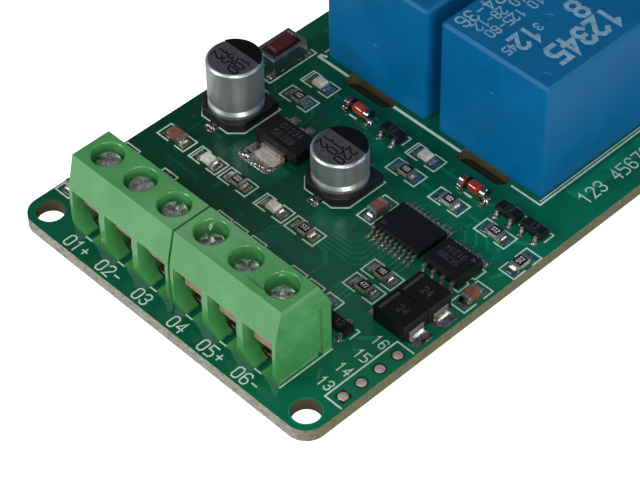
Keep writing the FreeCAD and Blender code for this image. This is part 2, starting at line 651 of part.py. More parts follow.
def make_contacts(name):
    """Three folded contacts of one block, each with its threaded plate and pin."""
    body = new_body("contacts")
    nut_front = "guard_back + guard_thick + contact_gap"
    tongue_front = "sill_deep + contact_gap"
    profile = new_sketch(body, "YZ_Plane", FIRST_WIRE)
    outline(profile, [(tongue_front, "contact_floor"), ("contact_back", "contact_floor"),
                      ("contact_back", "contact_top"), (nut_front, "contact_top"),
                      (nut_front, "contact_top - nut_thick"),
                      ("contact_back - contact_thick", "contact_top - nut_thick"),
                      ("contact_back - contact_thick", "contact_floor + contact_thick"),
                      (tongue_front, "contact_floor + contact_thick")])
    strip = pad(body, profile, "contact_wide", "Symmetric")
    pin_sketch = new_sketch(body, "XY_Plane", "contact_floor")
    centred_rectangle(pin_sketch, "pin_wide", "pin_thick", FIRST_WIRE, "well_back")
    pin = pad(body, pin_sketch, "contact_floor + board_thick + lead_tail", turned_round=True)
    bore_sketch = new_sketch(body, "XY_Plane", "contact_top")
    octagon(bore_sketch, FIRST_WIRE, "well_back", "thread_wide / 2 + thread_gap")
    bore = pocket(body, bore_sketch, "nut_thick")
    row(body, [strip, pin, bore], "X_Axis", "wire_pitch", "wires_per_block")
    return keep(body, name)


def make_screw(name):
    """Clamp screw, tip at z = 0, its thread drawn as an eight-sided bar."""
    body = new_body("screw")
    head = new_sketch(body, "XY_Plane", "screw_long")
    circle(head, "0", "0", "head_wide")
    pad(body, head, "head_tall", turned_round=True)
    shank = new_sketch(body, "XY_Plane", "screw_long - head_tall")
    octagon(shank, "0", "0", f"{FLAT_SHARE} * thread_wide / 2")
    pad(body, shank, "screw_long - head_tall", turned_round=True)
    slot = new_sketch(body, "XY_Plane", "screw_long")
    centred_rectangle(slot, "head_wide", "slot_wide")
    pocket(body, slot, "slot_deep")
    return keep(body, name)


def make_guard(name):
    """Wire guard: a plate under the screw's tip with its front lip turned up."""
    body = new_body("guard")
    profile = new_sketch(body, "YZ_Plane")
    outline(profile, [("0", "0"), ("guard_long", "0"), ("guard_long", "guard_thick"),
                      ("guard_thick", "guard_thick"), ("guard_thick", "guard_lip"),
                      ("0", "guard_lip")])
    pad(body, profile, "guard_wide", "Symmetric")
    return keep(body, name)


def make_terminals():
    """Both rows of screw terminals, with a clamp for every wire."""
    wire_number = {"input": 0, "output": 0}
    for kind, index, middle, turned, sink in BLOCKS:
        turn = 180 if turned else 0
        edge = from_back if turned else from_front
        for make, name in ((make_housing, "housing"), (make_contacts, "contacts")):
            made = make(f"{kind}_{name}_{index}")
            place(made, middle, edge("block_from_edge"), "board_thick", turn)
        for x_words in entry_middles(middle):
            wire_number[kind] += 1
            count = wire_number[kind]
            guard = make_guard(f"{kind}_guard_{count}")
            place(guard, x_words, edge("block_from_edge + guard_back"),
                  f"board_thick + {GUARD_LEVEL} - {sink}", turn)
            screw = make_screw(f"{kind}_screw_{count}")
            place(screw, x_words, edge(SCREW_FRONT), f"board_thick + block_tall - {sink} - screw_long",
                  turn + number("screw_turn") * count)


def make_relay_cover(name):
    """Blue cover of a relay: front at y = 0, open below."""
    body = new_body("cover")
    sketch = new_sketch(body, "XY_Plane")
    rectangle(sketch, "-relay_wide / 2", "0", "relay_wide / 2", "relay_long")
    pad(body, sketch, "relay_tall")
    dress_edges(body, "Fillet", "relay_corner", upright)
    top = number("relay_tall")
    dress_edges(body, "Chamfer", "relay_rim", lambda edge_box: edge_box.ZMin > top - 0.001)
    inside = new_sketch(body, "XY_Plane")
    rectangle(inside, "relay_wall - relay_wide / 2", "relay_wall", "relay_wide / 2 - relay_wall",
              "relay_long - relay_wall")
    pocket(body, inside, "relay_tall - relay_wall", turned_round=True)
    return keep(body, name)


def make_relay_works(middle):
    """Wound bobbin with its iron core, yoke and armature of one relay, as separate solids."""
    floor = "board_thick + relay_base_lift + relay_base_thick"
    front = from_front("relay_front + relay_wall + works_inset")
    coil = new_body("coil")
    core_top = "works_top - armature_gap"
    for low, high in (("yoke_thick", "yoke_thick + flange_thick"),
                      ("bobbin_top - flange_thick", "bobbin_top")):
        flange = new_sketch(coil, "XY_Plane", low)
        rectangle(flange, "-works_wide / 2", "0", "works_wide / 2", "bobbin_long")
        pad(coil, flange, f"{high} - ({low})")
        if low == "yoke_thick":
            winding = new_sketch(coil, "XY_Plane", high)
            octagon(winding, "0", "bobbin_long / 2", "bobbin_long / 2 - winding_step")
            pad(coil, winding, f"bobbin_top - flange_thick - ({high})")
    core = new_sketch(coil, "XY_Plane", "bobbin_top")
    centred_rectangle(core, "core_wide", "core_wide", "0", "bobbin_long / 2")
    pad(coil, core, f"{core_top} - bobbin_top")
    place(coil, middle, front, floor)
    yoke = new_body("yoke")
    side = new_sketch(yoke, "YZ_Plane")
    outline(side, [("0", "0"), ("works_long", "0"), ("works_long", "works_top"),
                   ("works_long - yoke_thick", "works_top"), ("works_long - yoke_thick", "yoke_thick"),
                   ("0", "yoke_thick")])
    pad(yoke, side, "works_wide", "Symmetric")
    place(yoke, middle, front, floor)
    armature = centred_box("armature", "works_wide", "works_long", "yoke_thick", middle,
                           f"{front} + works_long / 2", f"{floor} + works_top")
    return [coil, yoke, armature]


def make_relays():
    works = []
    for index, middle in enumerate(RELAY_MIDDLES, start=1):
        front = from_front("relay_front")
        cover = make_relay_cover(f"relay_cover_{index}")
        place(cover, middle, front, "board_thick")
        sides = "2 * relay_wall + 2 * relay_gap"
        base = centred_box("relay_base", f"relay_wide - ({sides})", f"relay_long - ({sides})",
                           "relay_base_thick", middle, f"{front} + relay_long / 2",
                           "board_thick + relay_base_lift")
        keep(base, f"relay_base_{index}")
        leads = []
        for x_words, back_words in RELAY_LEADS:
            leads.append(centred_box("relay_lead", "blade_wide", "blade_thick",
                                     "board_thick + relay_base_lift + lead_tail", f"{middle} + {x_words}",
                                     from_front(f"relay_front + {back_words}"), TAIL_LOW))
        group(f"relay_leads_{index}", leads)
        works += make_relay_works(middle)
    group("relay_works", works)


def make_capacitors():
    leads = []
    for index, tall in ((1, "tall_can"), (2, "short_can")):
        x_words, y_words = middle_of(f"can_{index}")
        can = new_body("can")
        half = new_sketch(can, "XZ_Plane")
        wall = "can_wide / 2"
        flare = "foot_tall + flare_tall"
        outline(half, [("0", "foot_tall"), (wall, "foot_tall"), (wall, flare),
                       (f"{wall} - neck_step", f"{flare} + neck_tall"), (wall, f"{flare} + 2 * neck_tall"),
                       (wall, f"{tall} - can_rim"), (f"{wall} - can_rim", tall), ("0", tall)])
        revolve(can, half)
        place(can, x_words, y_words, "board_thick")
        keep(can, f"capacitor_can_{index}")
        foot = new_body("foot")
        sketch = new_sketch(foot, "XY_Plane", "foot_lift")
        side = "foot_wide / 2"
        outline(sketch, [(f"foot_corner - {side}", f"-{side}"), (f"{side} - foot_corner", f"-{side}"),
                         (side, f"foot_corner - {side}"), (side, side),
                         (f"-{side}", side), (f"-{side}", f"foot_corner - {side}")])
        pad(foot, sketch, "foot_tall - foot_lift")
        place(foot, x_words, y_words, "board_thick")
        keep(foot, f"capacitor_base_{index}")
        lead_long = "foot_wide / 2 + can_lead_out - can_lead_in"
        for sign in ("+", "-"):
            leads.append(centred_box("can_lead", "can_lead_wide", lead_long, "foot_lift", x_words,
                                     f"{y_words} {sign} (can_lead_in + ({lead_long}) / 2)", "board_thick"))
    group("capacitor_leads", leads)


def make_switch():
    """Test button: moulded base, steel shell, red button and four soldered feet."""
    x_words, y_words = middle_of("switch")
    base = centred_box("switch_base", "switch_base_wide", "switch_base_long", "switch_base_tall", x_words,
                       y_words, "board_thick")
    keep(base, "switch_base")
    shell = new_body("shell")
    outer = new_sketch(shell, "XY_Plane", "shell_low")
    centred_rectangle(outer, "shell_wide", "shell_long")
    pad(shell, outer, "shell_top - shell_low")
    inside = new_sketch(shell, "XY_Plane", "shell_low")
    centred_rectangle(inside, "shell_wide - 2 * shell_thick", "shell_long - 2 * shell_thick")
    pocket(shell, inside, "shell_top - shell_thick - shell_low", turned_round=True)
    window = new_sketch(shell, "XY_Plane", "shell_top")
    centred_rectangle(window, "button_wide + 2 * button_play", "button_long + 2 * button_play")
    pocket(shell, window, "shell_thick")
    place(shell, x_words, y_words, "board_thick")
    keep(shell, "switch_shell")
    button = new_body("button")
    collar_low = "shell_top - shell_thick - collar_thick"
    stem = new_sketch(button, "XY_Plane", collar_low)
    centred_rectangle(stem, "button_wide", "button_long")
    pad(button, stem, "button_proud + shell_thick + collar_thick")
    dress_edges(button, "Fillet", "button_round", upright)
    collar = new_sketch(button, "XY_Plane", collar_low)
    centred_rectangle(collar, "button_wide + 2 * collar_out", "button_long + 2 * collar_out")
    pad(button, collar, "collar_thick")
    place(button, x_words, y_words, "board_thick")
    keep(button, "switch_button")
    feet = []
    for x_sign in "+-":
        for y_sign in "+-":
            feet.append(centred_box("foot", "switch_foot_wide", "switch_foot_out", "lead_thick",
                                    f"{x_words} {x_sign} switch_foot_side",
                                    f"{y_words} {y_sign} (switch_base_long + switch_foot_out) / 2",
                                    "board_thick"))
    group("switch_feet", feet)


def moulded_body(name, wide, deep, high, x_words, y_words):
    """Moulded chip body whose sides taper both ways from its parting line."""
    body = new_body(name)
    sketch = new_sketch(body, "XY_Plane", f"(chip_lift + {high}) / 2")
    centred_rectangle(sketch, wide, deep)
    made = pad(body, sketch, f"({high} - chip_lift) / 2", "Two sides")
    bind(made, "Length2", f"({high} - chip_lift) / 2")
    bind(made, "TaperAngle", "0 - chip_draft")
    bind(made, "TaperAngle2", "0 - chip_draft")
    place(body, x_words, y_words, "board_thick")
    return body


def gull_wing(deep, reach, high, toe):
    """Side view of a formed lead that leaves a body at half its height and ends in a flat toe."""
    shoulder = f"(chip_lift + {high}) / 2"
    top, under = f"{shoulder} + lead_thick / 2", f"{shoulder} - lead_thick / 2"
    start, end = f"{deep} / 2", f"{deep} / 2 + {reach}"
    bend = f"{end} - {toe}"
    return [(start, under), (f"{bend} - lead_thick", under), (f"{bend} - lead_thick", "0"), (end, "0"),
            (end, "lead_thick"), (bend, "lead_thick"), (bend, top), (start, top)]


def mirrored(points):
    """The same outline on the other side, still anticlockwise."""
    return [(f"0 - ({point[0]})", point[1]) for point in reversed(points)]


def lead_rows(wing, lead_wide, pitch, count, x_words, y_words):
    """Two opposite rows of formed leads."""
    body = new_body("leads")
    sketch = new_sketch(body, "YZ_Plane", f"0 - ({count} - 1) / 2 * {pitch}")
    outline(sketch, wing)
    outline(sketch, mirrored(wing))
    first = pad(body, sketch, lead_wide, "Symmetric")
    row(body, [first], "X_Axis", pitch, count)
    place(body, x_words, y_words, "board_thick")
    return body


def one_lead(wing, lead_wide, x_words, y_words, across="0"):
    """A single formed lead."""
    body = new_body("lead")
    sketch = new_sketch(body, "YZ_Plane", across)
    outline(sketch, wing)
    pad(body, sketch, lead_wide, "Symmetric")
    place(body, x_words, y_words, "board_thick")
    return body


def make_chips():
    leads = []
    for name, node in (("controller", "controller_chip"), ("bus", "bus_chip")):
        spot = middle_of(name)
        keep(moulded_body(name, f"{name}_wide", f"{name}_deep", f"{name}_high", *spot), node)
        wing = gull_wing(f"{name}_deep", f"{name}_reach", f"{name}_high", "toe_long")
        leads.append(lead_rows(wing, f"{name}_lead", f"{name}_pitch", f"{name}_row", *spot))
    spot = middle_of("regulator")
    keep(moulded_body("regulator_body", "regulator_wide", "regulator_deep", "regulator_high", *spot),
         "regulator")
    wing = gull_wing("regulator_deep", "regulator_reach", "regulator_high", "regulator_toe")
    for across in ("-regulator_pitch", "0", "regulator_pitch"):
        leads.append(one_lead(wing, "regulator_lead", *spot, across))
    leads.append(one_lead(mirrored(wing), "tab_wide", *spot))
    bodies = []
    wing = gull_wing("transistor_deep", "transistor_reach", "transistor_high", "transistor_toe")
    for letter in "abcd":
        spot = middle_of(f"transistor_{letter}")
        bodies.append(moulded_body("transistor", "transistor_wide", "transistor_deep", "transistor_high",
                                   *spot))
        for across in ("-transistor_pitch / 2", "transistor_pitch / 2"):
            leads.append(one_lead(mirrored(wing), "transistor_lead", *spot, across))
        leads.append(one_lead(wing, "transistor_lead", *spot))
    group("transistors", bodies)
    group("formed_leads", leads)


def surge_strip(x_words, y_words, turned):
    """Terminal strip on one end of a surge diode, folded in under its body."""
    body = new_body("strip")
    sketch = new_sketch(body, "XZ_Plane")
    outer, inner = "surge_long / 2 + surge_strip_thick", "surge_long / 2"
    points = [(f"{outer} - surge_strip_in", "0"), (outer, "0"), (outer, "surge_strip_tall"),
              (inner, "surge_strip_tall"), (inner, "chip_lift"), (f"{outer} - surge_strip_in", "chip_lift")]
    outline(sketch, mirrored(points) if turned else points)
    pad(body, sketch, "surge_strip", "Symmetric")
    place(body, x_words, y_words, "board_thick")
    return body


def make_diodes():
    bodies = []
    strips = []
    tubes = []
    for letter in "ab":
        spot = middle_of(f"surge_{letter}")
        bodies.append(centred_box("surge", "surge_long", "surge_wide", "surge_high - chip_lift", *spot,
                                  "board_thick + chip_lift"))
        for turned in (False, True):
            strips.append(surge_strip(*spot, turned))
        tube = new_body("tube")
        end = new_sketch(tube, "YZ_Plane")
        octagon(end, "0", "glass_wide / 2", "glass_wide / 2")
        pad(tube, end, "glass_long", "Symmetric")
        place(tube, *middle_of(f"glass_{letter}"), "board_thick")
        tubes.append(tube)
    group("surge_diodes", bodies)
    group("surge_diode_strips", strips)
    group("relay_diodes", tubes)


def make_small_parts():
    for node, kind, letters, high in (("resistors", "resistor", "abcdefghijklm", "resistor_high"),
                                      ("ceramic_capacitors", "ceramic", "abcdefgh", "ceramic_high"),
                                      ("status_lamps", "lamp", "abcd", "lamp_high")):
        members = []
        for letter in letters:
            name = f"{kind}_{letter}"
            size = ("chip_wide", "chip_long") if name in TURNED else ("chip_long", "chip_wide")
            members.append(centred_box("chip_part", *size, high, *middle_of(name), "board_thick"))
        group(node, members)


make_board()
make_terminals()
make_relays()
make_capacitors()
make_switch()
make_chips()
make_diodes()
make_small_parts()
doc.recompute()

faults = [thing.Label for thing in doc.Objects if "Invalid" in thing.State or "Error" in thing.State]
for part in KEPT:
    if part.Shape.isNull() or not part.Shape.isValid() or not part.Shape.Solids:
        faults.append(part.Label)
if faults:
    raise RuntimeError("these did not build: " + ", ".join(faults))
os.makedirs("parts", exist_ok=True)
for part in KEPT:
    part.Shape.exportStep(os.path.join("parts", part.Label + ".step"))
print(len(KEPT), "sub-parts written")
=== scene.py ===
"""Relay module board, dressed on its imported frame: a lacquered circuit board with screw terminals,
two sealed relays, two electrolytic capacitors and the small parts soldered between them."""
import math
from collections import namedtuple

import bmesh
import bpy
from mathutils import Matrix, Vector


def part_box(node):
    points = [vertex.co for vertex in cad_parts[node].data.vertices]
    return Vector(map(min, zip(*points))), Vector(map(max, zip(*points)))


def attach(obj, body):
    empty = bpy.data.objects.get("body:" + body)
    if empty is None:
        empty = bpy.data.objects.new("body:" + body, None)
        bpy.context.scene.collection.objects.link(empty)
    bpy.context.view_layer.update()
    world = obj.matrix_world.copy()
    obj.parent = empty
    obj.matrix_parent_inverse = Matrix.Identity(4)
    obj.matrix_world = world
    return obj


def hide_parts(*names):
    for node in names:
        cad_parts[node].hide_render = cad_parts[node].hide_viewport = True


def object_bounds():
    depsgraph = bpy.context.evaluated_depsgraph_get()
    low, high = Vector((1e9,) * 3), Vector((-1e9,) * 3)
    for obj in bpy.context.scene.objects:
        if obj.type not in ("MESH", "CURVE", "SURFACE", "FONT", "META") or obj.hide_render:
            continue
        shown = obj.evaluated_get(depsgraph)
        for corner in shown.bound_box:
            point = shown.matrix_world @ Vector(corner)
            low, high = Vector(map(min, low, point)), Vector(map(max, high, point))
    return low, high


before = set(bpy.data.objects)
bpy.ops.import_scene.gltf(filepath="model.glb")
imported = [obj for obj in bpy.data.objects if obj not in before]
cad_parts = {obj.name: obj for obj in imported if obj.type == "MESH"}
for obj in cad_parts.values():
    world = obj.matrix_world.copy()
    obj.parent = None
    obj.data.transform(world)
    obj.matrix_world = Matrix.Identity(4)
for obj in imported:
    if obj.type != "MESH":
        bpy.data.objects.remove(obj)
cad_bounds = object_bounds()

MM = 0.001
BOARD_LOW, BOARD_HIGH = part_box("circuit_board")
# Shapes are made in millimetres from the board's front left corner, on its upper face.
TO_FRAME = Matrix.Translation((BOARD_LOW.x, BOARD_LOW.y, BOARD_HIGH.z)) @ Matrix.Scale(MM, 4)
WIDE, LONG, THICK = (BOARD_HIGH - BOARD_LOW) / MM
LACQUER = 0.02      # the lacquer and what is printed on it stand this far above the solid
TRACK = 0.004       # copper under the lacquer stays below the print, with what Shape.stroke adds
CORNER = math.radians(28)       # edges that turn more than this are rounded
KINDS = ("input", "output")


class Box(namedtuple("Box", "low high")):
    """Lowest and highest corner of a part, in board millimetres."""

    @property
    def mid(self):
        return (self.low + self.high) / 2

    @property
    def across(self):
        """Whether it reaches further from left to right than from front to back."""
        return self.high.x - self.low.x > self.high.y - self.low.y


def on_board(point):
    """A point of the frame, in millimetres from the board's front left corner."""
    return TO_FRAME.inverted() @ Vector(point)


def node_box(node):
    """Box of a CAD node."""
    return Box(*(on_board(corner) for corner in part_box(node)))


def solids(node):
    """Box of each separate solid in a node, sorted from front to back and then left to right."""
    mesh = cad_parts[node].data
    leader = list(range(len(mesh.vertices)))

    def find(index):
        while leader[index] != index:
            leader[index] = leader[leader[index]]
            index = leader[index]
        return index

    first_at = {}
    for vertex in mesh.vertices:
        spot = tuple(round(value, 7) for value in vertex.co)
        leader[find(vertex.index)] = find(first_at.setdefault(spot, vertex.index))
    for face in mesh.polygons:
        for corner in face.vertices[1:]:
            leader[find(corner)] = find(face.vertices[0])
    groups = {}
    for vertex in mesh.vertices:
        groups.setdefault(find(vertex.index), []).append(on_board(vertex.co))
    boxes = [Box(*(Vector(pick(point[axis] for point in points) for axis in range(3))
                   for pick in (min, max))) for points in groups.values()]
    return sorted(boxes, key=lambda box: (round(box.low.y, 2), round(box.low.x, 2)))


SCREWS = {kind: [node_box(f"{kind}_screw_{count}") for count in range(1, 7)] for kind in KINDS}
CHIPS = {kind: solids(kind) for kind in ("resistors", "ceramic_capacitors", "status_lamps")}
# Holes of the header, along the board's right edge.
HEADER_X, HEADER_PITCH = WIDE - 1.25, 2.54
HEADER_YS = [6.3 + HEADER_PITCH * index for index in range(4)]


# ---- materials ----

def linear(code):
    """sRGB hex, such as "1B6E48", as linear colour."""
    parts = [int(code[index:index + 2], 16) / 255 for index in (0, 2, 4)]
    return [part / 12.92 if part <= 0.04045 else ((part + 0.055) / 1.055) ** 2.4
            for part in parts] + [1]


def add(tree, kind, inputs=None, **settings):
    """Adds a node with its settings, values and links. A node in place of a value links its
    first output."""
    node = tree.nodes.new(kind)
    for name, value in settings.items():
        setattr(node, name, value)
    for name, value in (inputs or {}).items():
        if isinstance(value, bpy.types.Node):
            value = value.outputs[0]
        if isinstance(value, bpy.types.NodeSocket):
            tree.links.new(value, node.inputs[name])
        else:
            node.inputs[name].default_value = value
    return node


def finish(name, **values):
    """A material with its shader and the place on the piece; values name the shader's sockets."""
    material = bpy.data.materials.new(name)
    material.use_nodes = True
    tree = material.node_tree
    shader = tree.nodes["Principled BSDF"]
    for socket, value in values.items():
        shader.inputs[socket.replace("_", " ")].default_value = value
    place = add(tree, "ShaderNodeTexCoord").outputs["Object"]
    return material, tree, shader, place


def mottled(name, patch_mm, shades, gloss, bump_mm=0.0, stretch=(1, 1, 1), **values):
    """A material whose colour, roughness and height vary over the surface in patches of a real
    size: shades and gloss give the two ends of the colour and of the roughness."""
    material, tree, shader, place = finish(name, **values)
    spread = add(tree, "ShaderNodeMapping", {"Vector": place, "Scale": stretch})
    noise = add(tree, "ShaderNodeTexNoise", {"Vector": spread, "Scale": 1 / (patch_mm * MM),
                                             "Detail": 3.0, "Roughness": 0.6})
    share = add(tree, "ShaderNodeMapRange", {"Value": noise, "From Min": 0.35, "From Max": 0.65})
    tint = add(tree, "ShaderNodeMix", {0: share, 6: linear(shades[0]), 7: linear(shades[1])},
               data_type="RGBA")
    tree.links.new(tint.outputs[2], shader.inputs["Base Color"])
    dull = add(tree, "ShaderNodeMapRange", {"Value": noise, "From Min": 0.3, "From Max": 0.7,
                                            "To Min": gloss[0], "To Max": gloss[1]})
    tree.links.new(dull.outputs[0], shader.inputs["Roughness"])
    if bump_mm:
        relief = add(tree, "ShaderNodeBump", {"Height": noise, "Distance": bump_mm * MM,
                                              "Strength": 1.0})
        tree.links.new(relief.outputs[0], shader.inputs["Normal"])
    return material


# Painted shade on the lacquer, from the middle of the board: axis, start and end in millimetres,
# and the tone there. Full green along the front and the right, painted darker to the left and
# behind the terminals, where shade falls.
SHADE_TONES = ((0, -12, 21, 0.36, 1.1), (1, -27, -30, 0.0, 0.76), (1, -20, 5, 0.26, 0.74))


def greener_over_pour(tree, place, colour):
    """Colour of the lacquer with painted shade: darker to the left and behind the terminals."""
    spot = add(tree, "ShaderNodeSeparateXYZ", {0: place})
    tones = [add(tree, "ShaderNodeMapRange", {"Value": spot.outputs[axis], "From Min": start * MM,
                                              "From Max": end * MM, "To Min": low, "To Max": high})
             for axis, start, end, low, high in SHADE_TONES]
    tone = tones[0]
    for other in tones[1:]:
        tone = add(tree, "ShaderNodeMath", {0: tone, 1: other}, operation="MAXIMUM")
    return add(tree, "ShaderNodeVectorMath", {0: colour, 1: tone}, operation="MULTIPLY").outputs[0]


def lacquered_board():
    """Glass fibre laminate, green solder lacquer sprayed over copper: glossy and dark on its faces,
    with painted shade to the left and behind the terminals; sawn beige fibre with brown specks
    on its edges, painted olive as shade on those facing left and right; and painted dark inside
    the holes, as shade."""
    material, tree, shader, place = finish("solder_lacquer_on_glass_fibre",
                                           Specular_IOR_Level=0.24)
    patches = add(tree, "ShaderNodeTexNoise", {"Vector": place, "Scale": 1 / (7 * MM),
                                               "Detail": 2.0})
    green = add(tree, "ShaderNodeMix", {0: patches, 6: linear("075740"), 7: linear("0A6F50")},
                data_type="RGBA")
    # cloth of the laminate, just felt through the lacquer
    thread_mm, band_scale = 0.5, 0.314      # a wave texture of scale 0.314 has bands 1 apart
    waves = [add(tree, "ShaderNodeTexWave", {"Vector": place, "Distortion": 0.6,
                                             "Scale": band_scale / (thread_mm * MM)},
                 bands_direction=way).outputs["Fac"] for way in "XY"]
    cloth = add(tree, "ShaderNodeMath", {0: waves[0], 1: waves[1]}, operation="MULTIPLY")
    # sawn edge: fibres lie flat in it, so its specks are long and thin
    flat = add(tree, "ShaderNodeMapping", {"Vector": place, "Scale": (1, 1, 4)})
    fibres = add(tree, "ShaderNodeTexNoise", {"Vector": flat, "Scale": 1 / (0.55 * MM),
                                              "Detail": 6.0, "Roughness": 0.75})
    specks, shaded_side_specks = (add(tree, "ShaderNodeValToRGB", {"Fac": fibres}) for _ in range(2))
    for ramp, stops in ((specks, ((0.36, "5C4F40"), (0.56, "A9A79C"))),
                        (shaded_side_specks, ((0.34, "4E4B36"), (0.60, "7C7C5E")))):
        for element, (share, code) in zip(ramp.color_ramp.elements, stops):
            element.position, element.color = share, linear(code)
    normal = add(tree, "ShaderNodeNewGeometry").outputs["Normal"]
    direction = add(tree, "ShaderNodeSeparateXYZ", {0: normal})
    sideways, upward = (add(tree, "ShaderNodeMath", {0: direction.outputs[axis]},
                            operation="ABSOLUTE") for axis in (0, 2))
    # edges facing left and right take the darker olive ramp as painted shade, those facing front and
    # back the paler one
    edge = add(tree, "ShaderNodeMix", {0: sideways, 6: specks, 7: shaded_side_specks}, data_type="RGBA")
    # walls further in than the rim are those of holes, painted dark olive as shade
    spot = add(tree, "ShaderNodeSeparateXYZ", {0: place})
    inside = []
    for axis, half in ((0, WIDE / 2), (1, LONG / 2)):
        reach = add(tree, "ShaderNodeMath", {0: spot.outputs[axis]}, operation="ABSOLUTE")
        inside.append(add(tree, "ShaderNodeMath", {0: reach, 1: (half - 0.8) * MM},
                          operation="LESS_THAN"))
    hole_shade = add(tree, "ShaderNodeMath", {0: inside[0], 1: inside[1]}, operation="MULTIPLY")
    cut = add(tree, "ShaderNodeMix", {0: hole_shade, 6: edge.outputs[2], 7: linear("4A4830")},
              data_type="RGBA")
    face = add(tree, "ShaderNodeMath", {0: upward, 1: 0.5}, operation="GREATER_THAN")
    # the faces' green carries painted shade, darker to the left and behind the terminals
    colour = add(tree, "ShaderNodeMix", {0: face, 6: cut.outputs[2],
                                         7: greener_over_pour(tree, place, green.outputs[2])},
                 data_type="RGBA")
    dull = add(tree, "ShaderNodeMapRange", {"Value": face, "To Min": 0.85, "To Max": 0.17})
    relief = add(tree, "ShaderNodeBump", {"Height": cloth, "Distance": 0.004 * MM})
    for value, socket in ((colour.outputs[2], "Base Color"), (dull.outputs[0], "Roughness"),
                          (relief.outputs[0], "Normal")):
        tree.links.new(value, shader.inputs[socket])
    return material


def lacquered_copper():
    """Copper under the same lacquer: a slightly brighter green that stands a little proud, with the
    same painted shade.
    """
    material = mottled("solder_lacquer_over_copper", 3, ("0B6B51", "118462"),
                       (0.13, 0.22), Specular_IOR_Level=0.24)
    tree = material.node_tree
    colour = tree.nodes["Principled BSDF"].inputs["Base Color"]
    place = next(node for node in tree.nodes if node.type == "TEX_COORD").outputs["Object"]
    # painted shade: darker to the left and behind the terminals, as on the lacquer
    tree.links.new(greener_over_pour(tree, place, colour.links[0].from_socket), colour)
    return material


BOARD = lacquered_board()
COPPER_UNDER_LACQUER = lacquered_copper()
# Screen-printed epoxy ink: thin, matt and slightly uneven, pale mint over the green.
INK = mottled("screen_printed_epoxy_ink", 0.6, ("B9D2C2", "D6E6DB"), (0.5, 0.7))
# Reflowed solder: bright and rounded, with a faint frosting.
SOLDER = mottled("reflowed_solder", 0.5, ("8F8C88", "C4C2BF"), (0.12, 0.38), 0.01, Metallic=1.0)
# Solder standing in the header holes and on the regulator's tab: frosted, warmer and duller.
FROSTED = mottled("frosted_solder", 0.3, ("A59B97", "D3CAC6"), (0.35, 0.55), 0.012, Metallic=0.35)
# Tinned copper leads: the same grey metal, flatter, drawn and cut.
TINNED = mottled("tinned_copper_leads", 0.6, ("A8A4A0", "C0BDB9"), (0.26, 0.38), 0.002,
                 Metallic=0.9)
# Polyamide moulding: green, waxy and a little see-through, with a soft gloss off the mould.
POLYAMIDE = mottled("green_polyamide_moulding", 4, ("459050", "4F9C5A"), (0.2, 0.3),
                    Subsurface_Weight=0.25, Subsurface_Scale=0.6 * MM, Coat_Weight=0.8,
                    Coat_Roughness=0.07)
# Zinc plated screw steel: bright, cold-headed, with fine scratches that break up its glints.
ZINC = mottled("zinc_plated_screw_steel", 0.6, ("BCC0BE", "F6F8F7"), (0.08, 0.26), 0.06,
               Metallic=0.9)
# Copper alloy strip, thinly tinned: warm where it is worn.
STRIP = mottled("tinned_copper_alloy_strip", 0.9, ("8C6A5C", "B8A294"), (0.25, 0.5), 0.008,
                Metallic=1.0)
# Stamped copper alloy of the wire guards: pinkish and satin, paler than the strip.
GUARD = mottled("copper_coloured_wire_guard", 1.2, ("B4857A", "D0AE9F"), (0.3, 0.5), 0.006,
                Metallic=0.55)
# Polyester moulding of the relays: deep blue, half gloss, almost even.
POLYESTER = mottled("blue_polyester_moulding", 6, ("006093", "00689E"), (0.32, 0.42),
                    Specular_IOR_Level=0.22)
# Moulding of the relays' bases: dark and matt, it closes the cover with a shadow.
BASE_PLASTIC = mottled("dark_relay_base_moulding", 2, ("16222E", "203140"), (0.5, 0.7))
# Pad printing on the relays: a pale blue-white film.
PAD_PRINT = mottled("pad_printed_ink", 0.8, ("6C98B8", "8AB2CC"), (0.5, 0.65))
# Drawn aluminium can: satin, with upright drawing lines.
ALUMINIUM = mottled("drawn_aluminium_can", 0.8, ("C2C5C6", "CCCFD0"), (0.38, 0.44), 0.0005,
                    (1, 1, 0.1), Metallic=0.9)
# Printed end of the can: a dark grey coating, slightly uneven.
CAN_COATING = mottled("dark_coating_on_can", 0.5, ("3C3E42", "484A4E"), (0.36, 0.5), 0.004)
# Marking ink on the cans and the glass: deep black and flat.
BLACK_INK = mottled("black_marking_ink", 0.8, ("040406", "0A0A0D"), (0.45, 0.6),
                    Specular_IOR_Level=0.2)
# Phenolic moulding under the cans and round the button: black, half matt.
PHENOLIC = mottled("black_phenolic_base", 1.2, ("0E0E10", "19191C"), (0.4, 0.6), 0.004)
# Epoxy moulding of the chips: matt charcoal with fine sand.
EPOXY = mottled("black_epoxy_moulding", 0.3, ("0A0A0C", "141416"), (0.36, 0.56), 0.006,
                Specular_IOR_Level=0.3)
# Epoxy burnt by the marking laser: a rough, slightly paler grey.
LASER = mottled("laser_marked_epoxy", 0.4, ("2E2E32", "45454A"), (0.6, 0.8))
# Fired alumina at the resistors' sides: chalky warm grey.
CERAMIC = mottled("alumina_resistor_body", 0.4, ("8E8981", "B5B0A8"), (0.5, 0.7))
# Glaze over the resistors: smooth black glass.
GLAZE = mottled("black_resistor_glaze", 0.6, ("0C0C0E", "161618"), (0.22, 0.4))
# Marking on the glaze: thick off-white ink.
MARK = mottled("resistor_marking_ink", 0.5, ("E0DED6", "F4F2EB"), (0.5, 0.6))
# Fired capacitor ceramic: brown to tan, dull.
TITANATE = mottled("fired_titanate_ceramic", 0.5, ("683D2E", "8A5742"), (0.45, 0.65))
# Pressed steel of the test button's shell: grey and glossy, with soft dents in its shine.
STEEL = mottled("polished_steel_shell", 1.5, ("8C8C90", "ADADB0"), (0.1, 0.22), 0.002,
                Metallic=0.95)
